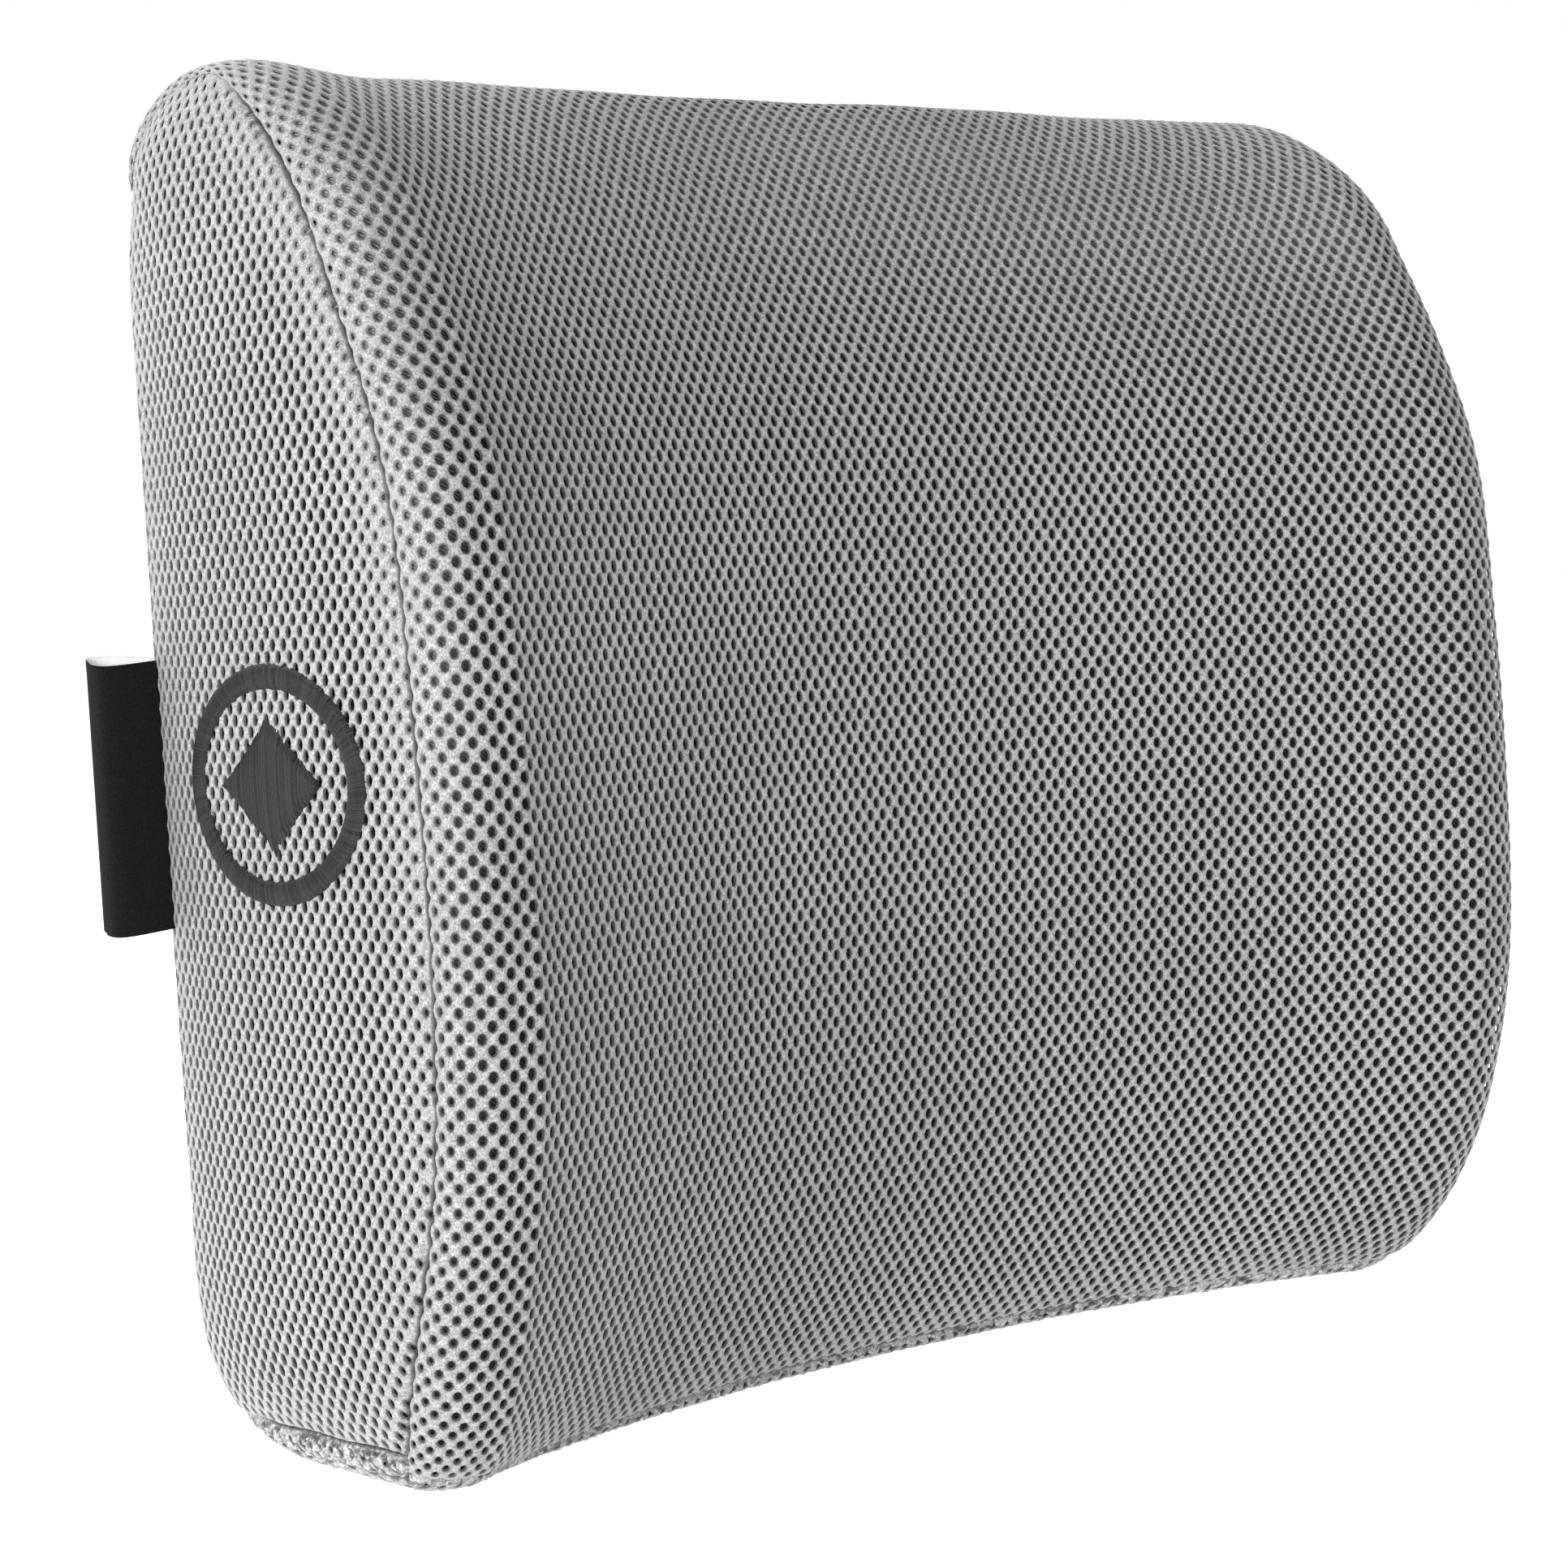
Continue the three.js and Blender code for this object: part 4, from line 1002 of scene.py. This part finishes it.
def satin(name, start, end, crown, closed):
    """Satin stitch: a thread from each point of start to the same point of end, side by
    side, each a ridge of its own, the whole crowned in the middle."""
    random = np.random.default_rng(11)
    rows = len(start)
    threads = rows // THREAD_SAMPLES
    jitter = random.normal(0, 0.02, (threads + 1, 2)).repeat(THREAD_SAMPLES, 0)[:rows]
    phase = (np.arange(rows) % THREAD_SAMPLES) / THREAD_SAMPLES
    tone = random.uniform(0.3, 1, threads + 1).repeat(THREAD_SAMPLES)[:rows]
    # Painted shade: each thread's tone darkens towards its sides, where it meets its neighbours.
    tone = tone * (0.25 + 0.75 * np.sin(np.pi * phase))
    ridge = 0.2 * np.sin(np.pi * phase) ** 0.8
    stations = 11
    first = jitter[:, :1]
    t = first + (1 + jitter[:, 1:] - first) * np.linspace(0, 1, stations)
    lift = 0.35 + crown * (1 - np.abs(2 * np.clip(t, 0, 1) - 1) ** 3) + ridge[:, None]
    lift[:, [0, -1]] = -0.1
    across, up = (start[:, k:k + 1] + (end - start)[:, k:k + 1] * t for k in (0, 1))
    points = on_left_side(across.ravel(), up.ravel(), lift.ravel())
    index = np.arange(rows * stations).reshape(rows, stations)
    quads = grid_quads(looped(index, 0).T if closed else index.T)
    # The thread attribute carries each thread's own tone with the painted shade between threads.
    return mesh_object(name, points, [quads], {"thread": tone.repeat(stations)})


def emblem_ring(name):
    """An oval ring of threads that slant a little across its band."""
    around = math.pi * (EMBLEM_HALF_DEPTH + EMBLEM_HALF_HEIGHT)
    rows = round(around / THREAD_PITCH) * THREAD_SAMPLES
    angle = np.linspace(0, 2 * np.pi, rows, endpoint=False)
    slant = 0.035
    half = np.array([EMBLEM_HALF_DEPTH, EMBLEM_HALF_HEIGHT])
    outer = half * np.stack([np.cos(angle), np.sin(angle)], -1)
    inner = (half - EMBLEM_BAND) * np.stack([np.cos(angle + slant), np.sin(angle + slant)], -1)
    return satin(name, outer, inner, 0.8, True)


def emblem_lozenge(name):
    """A lozenge of slanted threads, each cut off where it meets the outline."""
    half = np.array([EMBLEM_HALF_DEPTH, EMBLEM_HALF_HEIGHT]) * LOZENGE_SHARE
    rows = round(2 * half[0] / THREAD_PITCH) * THREAD_SAMPLES
    across = np.linspace(-0.985, 0.985, rows) * half[0]
    reach = half[1] * (1 - np.abs(across) / half[0])
    start = np.stack([across, reach], -1)
    end = np.stack([across, -reach], -1)
    return satin(name, start, end, 0.9, False)


ZIP_Z = 62
TAPE_END_X = 168.3
COIL_PITCH = 1.55
COIL_WIRE = 0.38


def zip_coil(name, node, side):
    """One side of a coil zip: a row of bent wire loops that reach the middle."""
    low, high = cad_box(node)
    count = int((high.x - low.x - 1) / COIL_PITCH)
    x = low.x + 0.6 + (np.arange(count) + (0.25 if side > 0 else 0.75)) * COIL_PITCH
    bend = np.linspace(0, 2 * np.pi, 12, endpoint=False)
    turn = np.linspace(0, 2 * np.pi, 6, endpoint=False)[:, None]
    away = 1 - 0.5 * (1 - np.cos(bend))
    middle_y = (low.y + high.y) / 2
    z = ZIP_Z + side * (0.1 + away * (high.z - low.z - COIL_WIRE))
    centre = np.stack([0.3 * np.sin(bend), middle_y + 0.55 * np.sin(bend), z], -1)[:, None]
    radial = np.stack([bend * 0, np.sin(bend), -side * np.cos(bend)], -1)[:, None]
    wire = radial * np.cos(turn) + np.array([1.0, 0, 0]) * np.sin(turn)
    loop = centre + COIL_WIRE * (1 + 0.3 * away)[:, None, None] * wire
    points = loop + x[:, None, None, None] * np.array([1.0, 0, 0])
    index = np.arange(points.size // 3).reshape(points.shape[:3])
    quads = np.concatenate([grid_quads(looped(looped(grid, 0), 1).T) for grid in index])
    return outwards(mesh_object(name, points, [quads], {}))


FOAM_INSET = 5.3
LINER_INSET = 4.6


def back_line(y, z, start, end, curl=0.0):
    """A line along the back at a height, which curls away from the back towards its end."""
    x = np.linspace(start, end, 40)
    drop = back_depth(x, np.full(len(x), z / HEIGHT))
    share = (x - start) / (end - start)
    return np.stack([x, y - drop + curl * share**2], -1)


def keeper_band(name):
    """The elastic loop that holds the strap's tail: a band round both webbings."""
    low, high = cad_box("strap_keeper")
    middle = (low + high) / 2
    reach = (high - low) / 2
    angle = np.linspace(0, 2 * np.pi, 97)
    corner = np.stack([np.cos(angle), np.sin(angle)], -1)
    corner = np.sign(corner) * np.abs(corner) ** 0.3
    inset = KEEPER_THICKNESS / 2
    line = np.array([middle.z, middle.y]) + corner * np.array([reach.z - inset, reach.y - inset])
    piece = ribbon(name, line, middle.x, 2 * reach.x, KEEPER_THICKNESS, *KEEPER_WEAVE, 0.3)
    for vertex in piece.data.vertices:
        vertex.co = vertex.co.zyx
    return outwards(piece)


BODY_COLUMNS = 60
BODY_STATIONS = 150


def wrapped_body(name, inset, closed):
    """A body that follows the cushion's form at an inset: the foam, or its liner, which is
    open along the foot's rear edge."""
    x = (SEAM_WIDTH / 2 - inset) * np.sin(np.linspace(-np.pi / 2, np.pi / 2, BODY_COLUMNS))
    s = np.linspace(0, 3, BODY_STATIONS, endpoint=False)
    x, s = (v.ravel() for v in np.meshgrid(x, s, indexing="ij"))
    step = 0.004
    along = unit(section_point(x, (s + step) % 3) - section_point(x, (s - step) % 3))
    inward = np.stack([along[:, 0] * 0, -along[:, 2], along[:, 1]], -1)
    points = section_point(x, s) + inward * inset
    index = np.arange(len(points)).reshape(BODY_COLUMNS, BODY_STATIONS)
    loops = [index]
    for rim, side in ((index[0], -1), (index[-1], 1)):
        rim_points = points[rim]
        middle = rim_points.mean(0)
        rings = [rim]
        for scale in (0.85, 0.6, 0.3, 0.02):
            inner = middle + (rim_points - middle) * scale
            inner[:, 0] += side * side_bow(inner[:, 1], inner[:, 2])
            rings.append(len(points) + np.arange(BODY_STATIONS))
            points = np.concatenate([points, inner])
        loops.append(np.array(rings))
    points = settled(points, np.full(len(points), 20.0))
    faces = [grid_quads(looped(grid, 1) if closed else grid) for grid in loops]
    return outwards(mesh_object(name, points, faces, {}))


# ---- assembly

# What each material slot is finished with, on the pieces made here and on the CAD nodes.
FINISHES = {
    "mesh_fabric": net_material(),
    "foam": plain_material("foam", (0.8, 0.74, 0.6), (0.88, 0.82, 0.7), 0.9, 400, 0.0002),
    "liner": plain_material("liner", grey(0.8), grey(0.88), 0.9, 1200, 0.0001),
    "zip_tape": woven_material("tape", grey(0.05), grey(0.22), 0.7),
    "zip_coil": plain_material("coil", grey(0.25), grey(0.4), 0.3, 1400, 0.00005),
    "zip_metal": plain_material("metal", grey(0.26), grey(0.38), 0.3, 600, 0.00002, 1.0),
    "webbing": woven_material("webbing", grey(0.002), grey(0.05), 0.6),
    "buckle_plastic": plain_material("plastic", grey(0.005), grey(0.012), 0.4, 900, 0.00003),
    "label_ribbon": label_material(),
    "care_ribbon": plain_material("satin", grey(0.75), grey(0.85), 0.45, 1800, 0.00005),
    "emblem_thread": thread_material(),
}
BACKING = backing_material()
TOPSTITCH = plain_material("topstitch", grey(0.2), grey(0.4), 0.5, 1800, 0.0001)
STITCH = plain_material("stitch", grey(0.05), grey(0.12), 0.45, 1800, 0.0001)
KEPT_SOLIDS = ("buckle_plastic", "zip_metal")
BEVEL_WIDTH = 0.00035


def finish_piece(piece, slot, *replaced, body="cushion", material=None):
    piece.data.materials.clear()
    piece.data.materials.append(material or FINISHES[slot])
    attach(piece, body)
    if replaced:
        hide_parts(*replaced)
    return piece


def band_piece(ending, node, slot, line, middle_z, size, weave, body="cushion"):
    """A woven band along a line, in its slot's finish, in place of its CAD node."""
    piece = ribbon(node + ending, line, middle_z, *size, *weave)
    finish_piece(piece, slot, node, body=body)


set_camera()
set_studio()
add_floor()

# Each piece of the cover: its CAD node, its layout and how far it is crushed.
TOP_SEAM = back_station(TOP_SEAM_Z)
FOOT_REAR_SEAM = back_station(FOOT_SEAM_Z)
FRONT_END = 2 - back_station(FRONT_FOOT_SEAM_Z)
SLOT_TOP = back_station(ZIP_SLOT_TOP)
SLOT_FOOT = back_station(ZIP_SLOT_FOOT)
PANELS = {
    "front": ("cover_front_panel", StripPanel(TOP_SEAM, FRONT_END, 1.5), 0),
    "back_upper": ("cover_back_panel_upper", StripPanel(SLOT_TOP, TOP_SEAM, 0.5), 0),
    "back_lower": ("cover_back_panel_lower", StripPanel(FOOT_REAR_SEAM, SLOT_FOOT, 0.3), 0),
    "side_left": ("cover_side_panel_left", SidePanel(-1, ROLL_TOP, HEIGHT), 0),
    "side_right": ("cover_side_panel_right", SidePanel(1, ROLL_TOP, HEIGHT), 0),
    "roll_left": ("cover_foot_panel", SidePanel(-1, 0, ROLL_TOP), 1),
    "roll_right": ("cover_foot_panel", SidePanel(1, 0, ROLL_TOP), 1),
    "foot": ("cover_foot_panel", StripPanel(FRONT_END, 3 + FOOT_REAR_SEAM, 2.5), 0.6),
}
# A side panel is cut from this share of its flat size.
SIDE_PANEL_SHARE = 0.8
for title, (node, panel, crush) in PANELS.items():
    flat = tuple(float(v) * MM for v in panel.high - panel.low)
    area = flat[0] * flat[1] * (1 if isinstance(panel, StripPanel) else SIDE_PANEL_SHARE)
    faces = [net(title + "_net", panel, crush), backing(title + "_backing", panel)]
    for piece, material in zip(faces, (None, BACKING)):
        finish_piece(piece, "mesh_fabric", node, material=material)
        if crush == 1:
            continue

for row in frame["record"]["subparts"]:
    node = frame["nodes"][row["node"]]
    if row["material_slot"] != "mesh_fabric":
        node.data.materials.clear()
        node.data.materials.append(FINISHES[row["material_slot"]])
    if row["material_slot"] in KEPT_SOLIDS:
        bevel = node.modifiers.new("rounded edges", "BEVEL")
        bevel.width = BEVEL_WIDTH
        bevel.segments = 2
        bevel.limit_method = "ANGLE"

# The left strap wraps the housing's bar and is sewn to itself; the tail wraps the plug's.
LEFT_STRAP = run_line(-1, HOUSING_BAR_X - 22)[::-1]
LEFT_STRAP += wrap_line(HOUSING_BAR_X - 14, HOUSING_BAR_X, HOUSING_BAR_X - 40, -1)
STRAPS = {
    "strap_left": (LEFT_STRAP, "folded", "cushion"),
    "strap_right": (run_line(1, LADDER_BAR_X - 1), "laid", "cushion"),
    "strap_tail": (wrap_line(LADDER_BAR_X + 4, LADDER_BAR_X, TAIL_TO, 1), "folded", "buckle_plug"),
}
STRAP_SIZE = (WEBBING_WIDTH, WEBBING_THICKNESS)
for node, (line, held, body) in STRAPS.items():
    band_piece("_webbing", node, "webbing", line, STRAP_Z, STRAP_SIZE, STRAP_WEAVE, body)
keeper = finish_piece(keeper_band("strap_keeper_elastic"), "webbing", "strap_keeper", body="keeper")

for node in ("zip_tape_upper", "zip_tape_lower"):
    low, high = cad_box(node)
    middle = (low + high) / 2
    line = back_line(middle.y, middle.z, -TAPE_END_X, TAPE_END_X)
    size = (high.z - low.z, high.y - low.y)
    band_piece("_woven", node, "zip_tape", line, middle.z, size, TAPE_WEAVE)

low, high = cad_box("care_label")
line = back_line(BACK_Y + 0.6, low.z, SEAM_WIDTH / 2 - 3, low.x, CARE_LABEL_CURL)
size = (high.z - low.z, CARE_LABEL_THICKNESS)
band_piece("_satin", "care_label", "care_ribbon", line, (low.z + high.z) / 2, size, CARE_WEAVE)

# A box with a cross sews the left strap to itself, and two rows run along the zip slot.
stitch_y = SECOND_LAYER_Y + WEBBING_THICKNESS / 2
left, right = HOUSING_BAR_X - 38, HOUSING_BAR_X - 29
foot, top = STRAP_Z - 9.5, STRAP_Z + 9.5
corners = [(left, stitch_y, foot), (right, stitch_y, foot), (right, stitch_y, top), (left, stitch_y, top)]
box = []
for a, b in ((0, 1), (1, 2), (2, 3), (3, 0), (0, 2), (3, 1)):
    box += stitch_row(corners[a], corners[b], 2.4, 0.12)
rows = []
for z in (ZIP_SLOT_TOP + 3, ZIP_SLOT_FOOT - 3):
    end, y = TAPE_END_X - 12, BACK_Y + 0.35
    rows += stitch_row((-end, y, z), (end, y, z), 3.2, 0.1)
finish_piece(capsules("zip_topstitch", rows, 0.28), "mesh_fabric", material=TOPSTITCH)
finish_piece(capsules("strap_box_stitch", box, 0.3), "webbing", material=STITCH)

label = finish_piece(label_loop("loop_label_ribbon"), "label_ribbon", "loop_label")
finish_piece(emblem_ring("emblem_ring_satin"), "emblem_thread", "emblem_ring")
finish_piece(emblem_lozenge("emblem_lozenge_satin"), "emblem_thread", "emblem_lozenge")
for name, side in (("upper", 1), ("lower", -1)):
    node = "zip_chain_" + name
    finish_piece(zip_coil(node + "_coil", node, side), "zip_coil", node)

foam = wrapped_body("foam_core_pad", FOAM_INSET, True)
finish_piece(foam, "foam", "foam_core")
liner = finish_piece(wrapped_body("inner_liner_cloth", LINER_INSET, False), "liner", "inner_liner")
area = sum(face.area for face in liner.data.polygons)

corners = {"cad": [list(v) for v in CAD_BOX], "visual": [list(v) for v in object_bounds()]}
